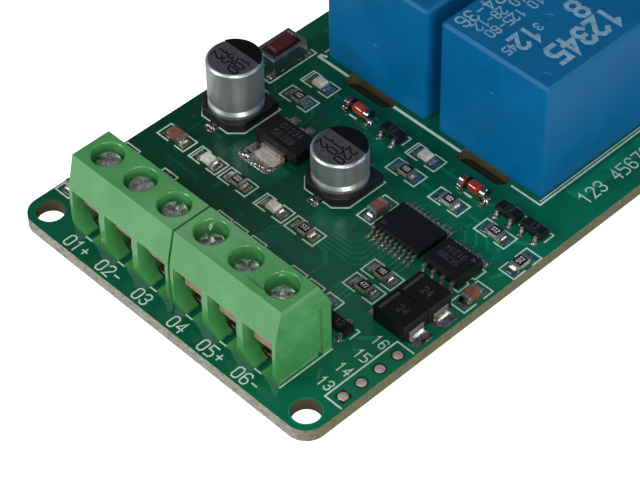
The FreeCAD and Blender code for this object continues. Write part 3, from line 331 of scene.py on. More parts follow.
# Moulding of the button: a dark wine red with a soft gloss.
BUTTON = mottled("red_button_moulding", 1.0, ("40101A", "561826"), (0.34, 0.5))
# Moulding under the status lamps: cream white and dull.
LAMP_BASE = mottled("white_lamp_base", 0.6, ("D0CEC3", "E6E4DB"), (0.45, 0.65))
# Cast epoxy lens: milky, wet-looking, with the chip's red behind it.
LENS = mottled("clear_epoxy_lens", 0.5, ("E8E6DC", "FAF8F2"), (0.08, 0.3), Transmission_Weight=0.25,
               IOR=1.52, Coat_Weight=0.4)
# The lamp's own chip: a small red glint.
GLOW = mottled("red_lamp_chip", 0.2, ("A82E22", "D0503A"), (0.25, 0.4))
# Drawn glass of the diodes: orange-red, clear and sharp in its glints.
GLASS = mottled("diode_glass", 0.8, ("A02E1A", "CC4C2A"), (0.04, 0.12), Transmission_Weight=0.5,
                IOR=1.5, Coat_Weight=0.4)
# Nickel plated end caps of the diodes: darker and smoother than solder.
NICKEL = mottled("nickel_plated_end_cap", 0.5, ("6E6B6A", "A3A09E"), (0.14, 0.28), 0.004,
                 Metallic=1.0)
# Bead inside the glass: a deeper red core.
BEAD = mottled("red_glass_bead", 0.5, ("8A1212", "B32020"), (0.15, 0.3))
# Dark brown and matt: painted shade in the via holes, and the header pads, oxidised.
HOLE_SHADE_AND_DARK_PADS = mottled("painted_hole_shade_and_dark_pads", 0.6, ("231F1A", "342E27"), (0.4, 0.6))


# ---- shapes ----

def turned(degrees, axis="Z"):
    """A turn about an axis through the board's front left corner."""
    return Matrix.Rotation(math.radians(degrees), 4, axis)


class Shape:
    """Corners and faces of a piece, in millimetres on the board."""

    def __init__(self):
        self.corners = []
        self.faces = []

    def skin(self, rows):
        """Faces between each row of corners and the next. A row is a closed loop or one point."""
        for one, two in zip(rows, rows[1:]):
            steps = max(len(one), len(two))
            for step in range(steps if steps > 1 else 0):
                after = (step + 1) % steps
                quad = [one[step % len(one)], one[after % len(one)], two[after % len(two)],
                        two[step % len(two)]]
                self.faces.append(list(dict.fromkeys(quad)))

    def tower(self, outlines):
        """A closed body through outlines one above the other, anticlockwise seen from above."""
        rows = []
        for outline in outlines:
            rows.append(list(range(len(self.corners), len(self.corners) + len(outline))))
            self.corners += outline
        self.faces += [rows[0][::-1], rows[-1]]
        self.skin(rows)
        return self

    def plate(self, outline, low, high):
        """A flat plate: its outline goes anticlockwise, seen from above."""
        return self.tower([[(x, y, z) for x, y in outline] for z in (low, high)])

    def block(self, low, high):
        return self.plate([(low[0], low[1]), (high[0], low[1]), (high[0], high[1]),
                           (low[0], high[1])], low[2], high[2])

    def stroke(self, points, wide, low=0.0, high=LACQUER, closed=False):
        """A drawn line of even width, mitred at its corners. Each length lies a micrometre or so
        higher than the one before, so that none is flush with one it crosses."""
        lift, levels = 0.0007, 23
        count = len(points)
        spots = [Vector(point) for point in points]
        left, right = [], []
        for index, spot in enumerate(spots):
            before = spots[index - 1] if index or closed else None
            after = spots[(index + 1) % count] if index < count - 1 or closed else None
            ways = [(b - a).normalized() for a, b in ((before, spot), (spot, after)) if a and b]
            way = sum(ways, Vector((0, 0))).normalized()
            across = Vector((-way.y, way.x))
            reach = wide / 2 / max(0.4, across.dot(Vector((-ways[0].y, ways[0].x))))
            ends = Vector((0, 0))
            if not closed and index in (0, count - 1):
                ends = way * (wide / 2 if index else -wide / 2)
            left.append(spot + across * reach + ends)
            right.append(spot - across * reach + ends)
        for index in range(count if closed else count - 1):
            after = (index + 1) % count
            step = lift * (len(self.faces) // 6 % levels)
            self.plate([right[index], right[after], left[after], left[index]], low, high + step)
        return self

    def ring(self, centre, outer, inner, low, high, steps=32):
        """A flat ring, or a disc where inner is 0."""
        rim = [(inner, high), (outer, high), (outer, low), (inner, low)]
        return self.lathe(rim, centre, steps, closed=inner > 0)

    def lathe(self, profile, centre=(0, 0), steps=40, closed=False, place=None):
        """Turns a profile of (radius, height) about the upright line through centre, then puts it
        in its place."""
        rows = []
        for radius, z in profile:
            count = steps if radius else 1
            rows.append(list(range(len(self.corners), len(self.corners) + count)))
            for step in range(count):
                turn = 2 * math.pi * step / steps
                spot = (centre[0] + radius * math.cos(turn), centre[1] + radius * math.sin(turn), z)
                self.corners.append(tuple(place @ Vector(spot)) if place else spot)
        self.skin(rows + rows[:1] if closed else rows)
        return self


def mesh_of(name, shape, rounding=0.0, segments=2, sharp=30):
    """A closed mesh with its faces outward, its edges rounded and its curves smooth."""
    work = bmesh.new()
    corners = [work.verts.new(corner) for corner in shape.corners]
    for face in shape.faces:
        work.faces.new([corners[index] for index in face])
    bmesh.ops.recalc_face_normals(work, faces=work.faces)
    if rounding:
        edges = [edge for edge in work.edges
                 if len(edge.link_faces) == 2 and edge.calc_face_angle() > CORNER]
        bmesh.ops.bevel(work, geom=edges, offset=rounding, segments=segments, profile=0.5,
                        affect="EDGES", clamp_overlap=True)
    return smooth_mesh(name, work, sharp)


def smooth_mesh(name, work, sharp):
    """The finished mesh, smooth but for edges that turn more than the sharp angle."""
    mesh = bpy.data.meshes.new(name)
    work.to_mesh(mesh)
    work.free()
    mesh.polygons.foreach_set("use_smooth", [True] * len(mesh.polygons))
    mesh.set_sharp_from_angle(angle=math.radians(sharp))
    return mesh


def placed(name, data):
    """A new object in the scene."""
    made = bpy.data.objects.new(name, data)
    bpy.context.scene.collection.objects.link(made)
    return made


def show(name, mesh, material, body="board", slot=None, replaces=()):
    """Puts a mesh that is in board millimetres into the frame as a piece."""
    mesh.transform(TO_FRAME)
    mesh.materials.clear()
    mesh.materials.append(material)
    made = placed(name, mesh)
    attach(made, body)
    if replaces:
        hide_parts(*replaces)


def piece(name, shape, material, rounding=0.0, segments=2, **where):
    """Makes a piece of one shape; where gives its body, slot and replaced nodes; the slot is not
    used.
    """
    show(name, mesh_of(name, shape, rounding, segments), material, **where)


def change(made, kind, **settings):
    """Adds a modifier with its settings."""
    modifier = made.modifiers.new(kind.lower(), kind)
    for name, value in settings.items():
        setattr(modifier, name, value)


def cut_out(made, shapes):
    """Cuts shapes out of an object. Their own objects go when it is baked."""
    tools = [placed("tool", mesh_of("tool", shape)) for shape in shapes]
    for tool in tools:
        change(made, "BOOLEAN", object=tool, solver="EXACT")
    return tools


def baked(made, *helpers):
    """The plain mesh of an object with its modifiers, after which it and its helpers go."""
    graph = bpy.context.evaluated_depsgraph_get()
    mesh = bpy.data.meshes.new_from_object(made.evaluated_get(graph), depsgraph=graph)
    for thing in (made, *helpers):
        bpy.data.objects.remove(thing)
    return mesh


def make_setter():
    """Tree that sets a copy of one shape on every point, turned and sized by the point's own
    attributes, with a little unevenness as hand and reflow work have."""
    tree = bpy.data.node_groups.new("set_on_points", "GeometryNodeTree")
    for label, kind in (("Geometry", "Geometry"), ("Shape", "Object"), ("Unevenness", "Float"),
                        ("Seed", "Int"), ("Finish", "Material")):
        tree.interface.new_socket(label, in_out="INPUT", socket_type="NodeSocket" + kind)
    tree.interface.new_socket("Geometry", in_out="OUTPUT", socket_type="NodeSocketGeometry")
    given = add(tree, "NodeGroupInput").outputs
    shape = add(tree, "GeometryNodeObjectInfo", {"Object": given["Shape"]})
    turn, size = (add(tree, "GeometryNodeInputNamedAttribute", {"Name": label},
                      data_type="FLOAT_VECTOR") for label in ("turn", "size"))
    ends = []
    for way in ("SUBTRACT", "ADD"):
        end = add(tree, "ShaderNodeMath", {0: 1.0, 1: given["Unevenness"]}, operation=way)
        ends.append(add(tree, "ShaderNodeCombineXYZ", {axis: end for axis in range(3)}))
    chance = add(tree, "FunctionNodeRandomValue", {0: ends[0], 1: ends[1], "Seed": given["Seed"]},
                 data_type="FLOAT_VECTOR")
    grown = add(tree, "ShaderNodeVectorMath", {0: size, 1: chance}, operation="MULTIPLY")
    copies = add(tree, "GeometryNodeInstanceOnPoints",
                 {"Points": given["Geometry"], "Instance": shape.outputs["Geometry"],
                  "Rotation": turn, "Scale": grown})
    real = add(tree, "GeometryNodeRealizeInstances", {"Geometry": copies})
    dressed = add(tree, "GeometryNodeSetMaterial", {"Geometry": real, "Material": given["Finish"]})
    add(tree, "NodeGroupOutput", {"Geometry": dressed})
    return tree


SETTER = make_setter()
# Set on spots, it takes its size in millimetres from them.
UNIT_BLOCK = Shape().block((-0.5, -0.5, 0), (0.5, 0.5, 1))


def at(x, y, size=(1, 1, 1), z=0.0, turn=0):
    """One spot for a repeated shape, with its turn about the upright and its size in x, y, z."""
    return (x, y, z), turn, size


def repeated(name, shape, spots, material, rounding=0.0, sharp=30, unevenness=0.0, seed=1,
             **where):
    """Copies of one shape on many spots."""
    points = bpy.data.meshes.new(name + "_points")
    points.from_pydata([place for place, turn, size in spots], [], [])
    for label, values in (("turn", [(0, 0, math.radians(turn)) for place, turn, size in spots]),
                          ("size", [size for place, turn, size in spots])):
        attribute = points.attributes.new(label, "FLOAT_VECTOR", "POINT")
        attribute.data.foreach_set("vector", [part for value in values for part in value])
    master = placed(name + "_shape", mesh_of(name, shape, rounding, sharp=sharp))
    holder = placed(name + "_holder", points)
    setter = holder.modifiers.new("set_on_points", "NODES")
    setter.node_group = SETTER
    inputs = {"Shape": master, "Unevenness": unevenness, "Seed": seed, "Finish": material}
    for socket in SETTER.interface.items_tree:
        if socket.in_out == "INPUT" and socket.name in inputs:
            setter[socket.identifier] = inputs[socket.name]
    show(name, baked(holder, master), material, **where)


def tidy_copy(node):
    """A merged copy of a node's mesh, in board millimetres, as a loose object."""
    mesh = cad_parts[node].data.copy()
    mesh.transform(TO_FRAME.inverted())
    work = bmesh.new()
    work.from_mesh(mesh)
    bmesh.ops.remove_doubles(work, verts=work.verts, dist=1e-4)
    bmesh.ops.dissolve_limit(work, angle_limit=math.radians(1), verts=work.verts,
                             edges=work.edges)
    work.to_mesh(mesh)
    work.free()
    return placed(node + "_copy", mesh)


def dress(node, material, rounding_mm=0.0, segments=2):
    """Gives a CAD node its material, and rounds its edges without touching its mesh."""
    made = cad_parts[node]
    made.data.materials.clear()
    made.data.materials.append(material)
    if rounding_mm:
        change(made, "WELD", merge_threshold=0.0005 * MM)
        change(made, "DECIMATE", decimate_type="DISSOLVE", angle_limit=math.radians(1))
        change(made, "BEVEL", width=rounding_mm * MM, segments=segments, limit_method="ANGLE",
               angle_limit=CORNER, harden_normals=True)
        change(made, "WEIGHTED_NORMAL")


# Strokes of the plain numbers and signs, on a grid 4 wide and 6 tall.
STROKES = {
    "0": [[(1, 0), (3, 0), (4, 1), (4, 5), (3, 6), (1, 6), (0, 5), (0, 1), (1, 0)]],
    "1": [[(0.8, 4.8), (2.2, 6), (2.2, 0)]],
    "2": [[(0, 5), (1, 6), (3, 6), (4, 5), (4, 4), (0, 0), (4, 0)]],
    "3": [[(0, 5), (1, 6), (3, 6), (4, 5), (4, 4), (3, 3), (4, 2), (4, 1), (3, 0), (1, 0), (0, 1)],
          [(1.5, 3), (3, 3)]],
    "4": [[(3, 0), (3, 6), (0, 2), (4, 2)]],
    "5": [[(4, 6), (0, 6), (0, 3.4), (3, 3.4), (4, 2.4), (4, 1), (3, 0), (0, 0)]],
    "6": [[(4, 5), (3, 6), (1, 6), (0, 5), (0, 1), (1, 0), (3, 0), (4, 1), (4, 2.2), (3, 3.2),
           (0, 3.2)]],
    "7": [[(0, 6), (4, 6), (1.4, 0)]],
    "8": [[(1, 3), (0, 4), (0, 5), (1, 6), (3, 6), (4, 5), (4, 4), (3, 3), (1, 3), (0, 2), (0, 1),
           (1, 0), (3, 0), (4, 1), (4, 2), (3, 3)]],
    "9": [[(0, 1), (1, 0), (3, 0), (4, 1), (4, 5), (3, 6), (1, 6), (0, 5), (0, 3.8), (1, 2.8),
           (4, 2.8)]],
    "+": [[(0.4, 3), (3.6, 3)], [(2, 1.4), (2, 4.6)]],
    "-": [[(0.4, 3), (3.6, 3)]],
    " ": [],
}


def number(shape, text, spot, tall, turn, wide, low=0.0, high=LACQUER, spread=1.0):
    """Draws plain numbers with strokes of even width, centred on a spot."""
    unit = tall / 6
    across, step = 0.78 * unit * spread, 4.7 * unit * spread
    place = Matrix.Translation((spot[0], spot[1], 0)) @ turned(turn)
    for index, sign in enumerate(text):
        left = (index - (len(text) - 1) / 2) * step - 2 * across
        for line in STROKES[sign]:
            points = [place @ Vector((left + x * across, (y - 3) * unit, 0)) for x, y in line]
            shape.stroke([point.xy for point in points], wide, low, high)


def along(box, *points):
    """Points given from the middle of a two-ended part, along it and across it."""
    return [(box.mid.x + a, box.mid.y + b) if box.across else (box.mid.x - b, box.mid.y + a)
            for a, b in points]


def part_ends(reach, kinds=tuple(CHIPS)):
    """Both ends of every two-ended part: its kind, its box, the spot this far from its middle,
    and the end's turn."""
    for kind in kinds:
        for box in CHIPS[kind]:
            for end, turn in ((-1, 180), (1, 0)):
                yield kind, box, along(box, (end * reach, 0))[0], turn + (0 if box.across else 90)


# Rows of formed leads: from the body's edge to the middle of the pad, the pad's size, from the
# edge to the middle of the lead's toe, and half the lead's width.
LEADS = {"controller_chip": (0.85, (0.34, 1.4), 0.95, 0.12),
         "bus_chip": (0.9, (0.6, 1.5), 1.0, 0.21),
         "transistors": (0.5, (0.75, 0.85), 0.52, 0.21),
         "regulator": (1.2, (1.1, 1.9), 1.7, 0.35)}


def formed_leads():
    """Every formed lead: its part, its x, the body's edge it comes from and which way it goes."""
    for node, count, pitch in (("controller_chip", 10, 0.65), ("bus_chip", 4, 1.27)):
        box = node_box(node)
        for index in range(count):
            x = box.mid.x + (index - (count - 1) / 2) * pitch
            yield from ((node, x, box.low.y, -1), (node, x, box.high.y, 1))
    for box in solids("transistors"):
        for step, edge, way in ((-0.95, box.low.y, -1), (0.95, box.low.y, -1),
                                (0, box.high.y, 1)):
            yield "transistors", box.mid.x + step, edge, way
    box = node_box("regulator")
    for step in (-2.3, 0, 2.3):
        yield "regulator", box.mid.x + step, box.high.y, 1


# ---- board: copper, print, pads ----

def make_copper():
    """Tracks and pours that show through the lacquer."""
    copper = Shape()
    # tracks side by side: from the controller, round a bend, and from both chips
    for index in range(5):
        x, drop, near = 28.78 + 0.65 * index, 21.6 - 0.55 * index, 22.6 - 0.5 * index
        copper.stroke([(x, 23.3), (x, drop + 0.9), (x - 0.9, drop), (near + 2, drop),
                       (near, drop - 2.0), (near, 11.2)], 0.26, 0, TRACK)
    for index in range(4):
        reach = 1.1 + 0.62 * index
        turns = [(34.4 + reach * math.cos(math.radians(angle)),
                  14.6 + reach * math.sin(math.radians(angle))) for angle in range(180, 300, 20)]
        copper.stroke([(34.4 - reach, 17.0), *turns, (37.5, turns[-1][1] - 0.2)], 0.28, 0, TRACK)
    for index in range(6):
        x, back = 31.4 + 0.65 * index, 22.6 - 0.4 * index
        copper.stroke([(x, 23.2), (x, back), (x + 0.5, back - 0.5)], 0.24, 0, TRACK)
    for index in range(4):
        x, back = 36.36 + 1.27 * index, 30.3 + 0.3 * index
        copper.stroke([(x, 29.2), (x, back), (x - 1.2, back + 1.2), (x - 1.2, 32.4)], 0.3, 0,
                      TRACK)
    runs = [
        [(10.0, 24.3), (10.0, 21.6), (8.8, 20.4)], [(14.4, 19.4), (16.9, 19.4), (17.8, 19.4)],
        [(3.5, 21.0), (3.5, 23.0)], [(6.4, 30.7), (7.4, 32.2)],
        [(11.6, 30.4), (11.6, 32.2), (10.6, 33.2)], [(16.0, 30.4), (17.6, 32.0), (23.6, 32.0)],
        [(9.6, 36.4), (12.7, 36.4)], [(16.9, 36.0), (18.6, 36.0)], [(26.1, 33.2), (30.0, 33.2)],
        [(32.5, 33.2), (36.6, 33.2)], [(39.2, 33.0), (41.2, 34.4), (41.2, 35.0)],
        [(34.3, 36.0), (35.4, 36.0)], [(22.0, 35.8), (23.6, 36.3)], [(26.1, 36.3), (29.8, 36.3)],
        [(13.1, 22.2), (13.1, 20.9)], [(19.9, 19.0), (21.6, 18.3)],
        [(25.4, 18.9), (27.2, 18.9), (28.4, 17.7), (28.4, 15.2)], [(36.2, 20.6), (36.9, 20.6)],
        [(41.9, 28.2), (42.4, 29.4), (42.4, 30.4)], [(41.0, 13.9), (39.2, 13.9), (38.2, 12.9)],
        [(41.3, 11.4), (39.0, 11.4)], [(12.0, 16.9), (12.0, 18.2)],
        [(5.0, 16.8), (9.6, 16.8), (11.0, 15.4), (11.0, 11.4)],
    ]
    for run in runs:
        copper.stroke(run, 0.45, 0, TRACK)
    pours = [(22.4, 20.9, 26.0, 23.4), (2.0, 43.0, 4.6, 58.0), (38.9, 43.0, 40.9, 59.0),
             (8.6, 20.9, 16.2, 24.4), (17.2, 31.2, 23.4, 34.8)]
    for left, front, right, back in pours:
        copper.block((left, front, 0), (right, back, TRACK * 0.6))
    piece("lacquered_tracks", copper, COPPER_UNDER_LACQUER)


def make_vias():
    """Plated vias, tented with lacquer but for a dark middle: a disc of painted shade where the hole
    is.
    """
    spots = [at(x, y) for x, y in (
        (6.0, 16.2), (9.2, 22.4), (12.4, 31.6), (16.6, 22.6), (17.0, 16.4), (22.3, 16.6),
        (26.6, 23.4), (27.4, 19.4), (27.2, 30.9), (29.8, 30.7), (33.9, 30.8), (34.9, 31.4),
        (36.6, 15.6), (41.8, 17.8), (40.2, 31.0), (38.6, 23.1), (42.9, 38.2), (19.2, 34.2),
        (14.0, 33.6), (5.6, 38.2), (2.2, 23.0), (2.0, 31.8), (42.6, 20.9), (21.9, 38.3),
        (28.2, 36.9), (26.2, 17.2), (10.2, 27.2), (30.8, 22.2))]
    for name, outer, inner, high, steps, material in (
            ("via_rims", 0.32, 0.13, 0.018, 20, COPPER_UNDER_LACQUER),
            ("via_holes", 0.14, 0, 0.012, 16, HOLE_SHADE_AND_DARK_PADS)):
        repeated(name, Shape().ring((0, 0), outer, inner, 0, high, steps), spots, material)


def make_print():
    """White lines printed round the parts."""
    ink = Shape()
    fine, bold = 0.17, 0.34
    for kind, boxes in CHIPS.items():
        for box in boxes:
            side = 1.035
            for end in (-1, 1):
                corners = ((0.4, side), (2.12, side), (2.12, -side), (0.75, -side))
                ink.stroke(along(box, *((end * a, end * b) for a, b in corners)), fine)
            if kind == "status_lamps":
                ink.stroke(along(box, (-1.0, side), (-1.95, side)), fine)
                ink.stroke(along(box, (-1.78, 1.0), (-1.78, -1.0)), 0.12)
    for index in (1, 2):
        low, high = box = node_box(f"capacitor_base_{index}")
        front, back = low.y - 0.02, high.y + 0.12
        for side, wall in ((-1, low.x - 0.08), (1, high.x + 0.08)):
            ink.stroke([(wall - side * 2.3, back), (wall, back), (wall, front + 1.35),
                        (wall - side * 1.35, front), (box.mid.x + side * 0.75, front)], fine)
    low, high = node_box("switch_shell")
    for inner, outer, near, far in ((high.x - 0.55, high.x + 0.27, low.y - 1.0, high.y + 1.0),
                                    (low.x + 0.3, low.x - 0.3, low.y - 1.0, high.y + 1.0)):
        ink.stroke([(inner, near), (outer, near), (outer, far), (inner, far)], fine)
    # bus chip: its first pin's end has a round notch
    low, high = box = node_box("bus_chip")
    side, reach = high.x + 0.22, 0.5
    arc = [(side - reach * math.cos(math.radians(angle)),
            box.mid.y + reach * math.sin(math.radians(angle))) for angle in range(-90, 91, 30)]
    ink.stroke([(side - 0.6, low.y - 0.1), (side, low.y - 0.1), *arc, (side, high.y + 0.1),
                (side - 0.6, high.y + 0.1)], fine)
    low, high = node_box("controller_chip")
    ink.stroke([(low.x - 0.25, low.y + 0.2), (low.x - 0.25, high.y - 0.2)], fine)
    for low, high in solids("transistors"):
        ink.stroke([(high.x - 0.1, high.y + 0.42), (high.x + 0.28, high.y + 0.42),
                    (high.x + 0.28, high.y - 0.95)], fine)
    for box in solids("relay_diodes"):
        front = box.low.y - 0.12
        ink.stroke([(box.mid.x - 0.55, front), (box.mid.x + 0.3, front)], 0.24)
    # a bold line before the relays, a thinner one on their other sides
    left, right = node_box("relay_cover_1"), node_box("relay_cover_2")
    front, back = left.low.y - 0.83, left.high.y + 0.6
    wall, far_wall = left.low.x - 0.5, right.high.x + 0.65
    ink.stroke([(wall + 0.6, front + 0.55), (wall, front + 0.35), (wall, front),
                (left.low.x + 4.1, front)], bold)
    ink.stroke([(left.high.x - 3.7, front), (right.low.x + 4.2, front)], bold)
    ink.stroke([(right.high.x - 3.4, front), (far_wall, front), (far_wall, back), (wall, back),
                (wall, front + 1.1)], 0.2)
    ink.stroke([(right.high.x + 0.28, front + 0.45), (right.high.x + 0.28, back - 0.3)], 0.12)
    # terminals: a dashed line behind them, a tick at each wire's notch, a line beside the last one
    for kind, sign in (("input", 1), ("output", -1)):
        first, last = node_box(f"{kind}_housing_1"), node_box(f"{kind}_housing_2")
        near, far = (first.low.y, first.high.y)[::sign]
        face, rear = near + sign * 0.35, far + sign * 0.41
        start, end = first.low.x + 0.2, last.high.x + 0.12
        dash = (end - start) / 6
        for index in range(6):
            a, b = start + index * dash, start + (index + 0.86) * dash
            ink.stroke([(a, rear - sign * 0.3), (a, rear), (b, rear), (b, rear - sign * 0.22)],
                       0.15)
        for box in SCREWS[kind]:
            notch, foot = box.mid.x - sign * 0.42, face - sign * 0.05
            ink.stroke([(notch - 0.42, foot), (notch + 0.42, foot),
                        (notch + 0.42, face + sign * 1.5)], 0.16)
        ink.stroke([(end, face), (end, rear - sign * 0.5)], 0.16)
    # header holes
    ink.stroke([(HEADER_X + 0.95, 15.2), (HEADER_X - 1.3, 15.2), (HEADER_X - 1.3, 5.08),
                (HEADER_X + 0.95, 5.08)], fine)
    piece("printed_lines", ink, INK)


def make_numbers():
    """Plain numbers and signs printed beside the terminals, the header and the relays."""
    ink = Shape()
    for text, box in zip(("01+", "02-", "03", "04", "05+", "06-"), SCREWS["input"]):
        number(ink, text, (box.mid.x - 0.5, 1.15), 1.5, 0, 0.16)
    for count, box in enumerate(SCREWS["output"], start=7):
        number(ink, f"{count:02d}", (box.mid.x, LONG - 1.1), 1.5, 180, 0.16)
    for count, y in enumerate(HEADER_YS, start=13):
        number(ink, str(count), (WIDE - 3.7, y), 1.2, 0, 0.14)
    number(ink, "123 45678 901", (41.0, 51.2), 1.6, 90, 0.16)
    piece("printed_numbers", ink, INK)


def make_pads():
    """Bare tinned pads under the ends of the parts."""
    spots = [at(*spot, (1.35, 1.35, LACQUER), turn=turn % 180)
             for kind, box, spot, turn in part_ends(1.1)]
    for node, x, edge, way in formed_leads():
        reach, size, _, _ = LEADS[node]
        spots.append(at(x, edge + way * reach, (*size, LACQUER)))
    box = node_box("regulator")
    spots.append(at(box.mid.x - 0.65, box.low.y - 1.25, (4.9, 3.5, LACQUER)))
    for node, left, right, size in (("surge_diodes", -0.3, 0.45, (1.9, 2.5, LACQUER)),
                                    ("relay_diodes", 0.1, -0.1, (1.1, 1.7, LACQUER))):
        for box in solids(node):
            spots += [at(box.low.x + left, box.mid.y, size),
                      at(box.high.x + right, box.mid.y, size)]
    for node, size in (("capacitor_leads", (1.5, 3.2, LACQUER)),
                       ("switch_feet", (1.0, 1.1, LACQUER))):
        spots += [at(box.mid.x, box.mid.y, size) for box in solids(node)]
    repeated("tinned_pads", UNIT_BLOCK, spots, SOLDER, 0.12)


def fillet_shape():
    """Solder fillet against an upright end at x = 0: a hollow slope, rounded at its sides."""
    shape, loops = Shape(), []
    steps, count = 6, 9
    for step in range(steps + 1):
        out = step / steps
        height, half = (1 - out) ** 2.2, 0.5 * (1 - 0.35 * out ** 2)
        first = len(shape.corners)
        top = list(range(first, first + count))
        for index in range(count):
            across = -1 + 2 * index / (count - 1)
            shape.corners.append((out, across * half, height * (1 - 0.25 * across ** 4)))
        if step < steps:
            shape.corners += [(out, -half, 0), (out, half, 0)]
            loops.append([first + count, *top, first + count + 1])
    # the toe lies flat, so its loop ends in its own corners and the floor takes them all in
    loops.append([top[0], *top, top[-1]])
    shape.skin(loops)
    shape.faces[-1] = [loops[-2][0], loops[-2][-1], *top[::-1]]
    shape.faces.append(loops[0][::-1])
    return shape


def make_solder():
    """Fillets at the ends of the two-ended parts, blobs at every lead, and the regulator's tab."""
    tall = {"resistors": 0.42, "ceramic_capacitors": 0.62, "status_lamps": 0.36}
    spots = [at(*spot, (0.62, 1.22, tall[kind]), 0.01, turn)
             for kind, box, spot, turn in part_ends(1.0)]
    for box in solids("surge_diode_strips"):
        right = box.mid.x > node_box("surge_diodes").mid.x
        spots.append(at(box.high.x if right else box.low.x, box.mid.y, (0.95, 2.2, 0.55), 0.01,
                        0 if right else 180))
    for box in solids("switch_feet"):
        back = box.mid.y > node_box("switch_shell").mid.y
        y = box.high.y - 0.12 if back else box.low.y + 0.12
        spots.append(at(box.mid.x, y, (0.35, 0.7, 0.16), 0.01, 90 if back else -90))
    repeated("solder_fillets", fillet_shape(), spots, SOLDER, sharp=60, unevenness=0.08, seed=4)
    spots = []
    for node, x, edge, way in formed_leads():
        _, _, reach, half = LEADS[node]
        spots.append(at(x, edge + way * reach, (half + 0.06, 0.3, 0.17), 0.005))
    low = node_box("regulator").low
    for x, y, size in ((1.0, -2.3, (0.68, 0.6, 0.52)), (2.5, -2.5, (0.5, 0.35, 0.2)),
                       (3.5, -2.4, (0.55, 0.34, 0.28)), (4.5, -2.1, (0.34, 0.4, 0.2))):
        spots.append(at(low.x + x, low.y + y, size))
    tab = Shape().block((low.x + 1.72, low.y - 1.72, 0.05), (low.x + 4.77, low.y - 0.06, 0.42))
    piece("regulator_tab", tab, FROSTED, 0.06)
    for box in solids("capacitor_leads"):
        front = box.mid.y < node_box("capacitor_base_1").mid.y
        x, y = box.mid.x, box.low.y if front else box.high.y
        spots += [at(x - 0.35, y, (0.45, 0.42, 0.36)), at(x + 0.3, y + 0.05, (0.4, 0.36, 0.3))]
    for box in solids("relay_diodes"):
        spots += [at(x, box.mid.y, (0.42, 0.72, 0.5))
                  for x in (box.low.x - 0.12, box.high.x + 0.12)]
    blob = Shape().lathe([(0, 0), (1, 0), (0.94, 0.3), (0.75, 0.62), (0.45, 0.88), (0, 1)],
                         steps=20)
    repeated("solder_blobs", blob, spots, SOLDER, sharp=60, unevenness=0.12, seed=7)


def make_holes():
    """Pads and solder of the header holes, and the paler ring round each corner hole."""
    pads, plugs, rings = Shape(), Shape(), Shape()
    bore, lip = 0.45, 0.55
    for y in HEADER_YS:
        for low, high in ((0, LACQUER), (-THICK - LACQUER, -THICK)):
            if y > HEADER_YS[0]:
                pads.ring((HEADER_X, y), 0.75, bore, low, high)
            else:
                corners = [(HEADER_X + 0.52 * a, y + 0.52 * b)
                           for a, b in ((-1, -1), (1, -1), (1, 1), (-1, 1))]
                pads.stroke(corners, 0.36, low, high, closed=True)
        plugs.lathe([(0, -THICK - 0.08), (0.4, -THICK - 0.07), (lip, -THICK - 0.02),
                     (bore, -THICK), (bore, 0), (lip, 0.02), (0.51, 0.06), (0.36, 0.1), (0, 0.12)],
                    (HEADER_X, y), 32)
    piece("header_pads", pads, HOLE_SHADE_AND_DARK_PADS)
    piece("header_solder", plugs, FROSTED, slot="tinned_metal")
    edge = 2.45
    for x in (edge, WIDE - edge):
        for y in (edge, LONG - edge):
            rings.ring((x, y), 1.78, 1.62, 0, 0.012, 48)
    piece("corner_hole_rings", rings, COPPER_UNDER_LACQUER)


def make_underside():
    """Solder cone round every lead that comes through the board, its land, and the tracks."""
    leads = [(box.mid.x, box.mid.y, 0.95) for kind in KINDS for box in SCREWS[kind]]
    leads += [(box.mid.x, box.mid.y, 0.9) for index in (1, 2)
              for box in solids(f"relay_leads_{index}")]
    cone = Shape().lathe([(0, -0.01), (1.22, -0.01), (1.18, -0.06), (0.95, -0.2), (0.72, -0.5),
                          (0.62, -0.95), (0.5, -1.08), (0, -1.12)], steps=24)
    repeated("solder_cones", cone, [at(x, y, (size,) * 3, -THICK) for x, y, size in leads],
             SOLDER, sharp=50, unevenness=0.05, seed=11)
    repeated("underside_lands", Shape().ring((0, 0), 1.45, 0, -0.015, 0, 28),
             [at(x, y, (size, size, 1), -THICK) for x, y, size in leads], COPPER_UNDER_LACQUER)
    copper = Shape()
    low = -THICK - 0.012
    for x, y, _ in leads[:12]:
        inward = 1 if y < LONG / 2 else -1
        copper.stroke([(x, y), (x, y + inward * 5.5), (x + 1.5, y + inward * 7.0)], 1.1, low,
                      -THICK)
    for index in range(9):
        x = 5.5 + 3.9 * index
        copper.stroke([(x, 14.0 + 0.7 * index), (x + 1.2, 20.0), (x + 1.2, 30.0 + 0.6 * index),
                       (x - 0.8, 36.0)], 0.35, low, -THICK)
    piece("underside_tracks", copper, COPPER_UNDER_LACQUER)


# ---- screw terminals ----

def thread_shape(top, wide, pitch=0.45, around=28, levels=56):
    """A cut thread as one helix on a grid, from its tip at z = 0, where it runs out."""
    root, depth = wide / 2 - 0.34, 0.24
    outlines = []
    for level in range(levels + 1):
        z, outline = top * level / levels, []
        for step in range(around):
            share = (z / pitch - step / around) % 1
            radius = root + depth * (1 - abs(2 * share - 1)) * min(1, z / 0.5 + 0.2)
            turn = 2 * math.pi * step / around
            outline.append((radius * math.cos(turn), radius * math.sin(turn), z))
        outlines.append(outline)
    return Shape().tower(outlines)


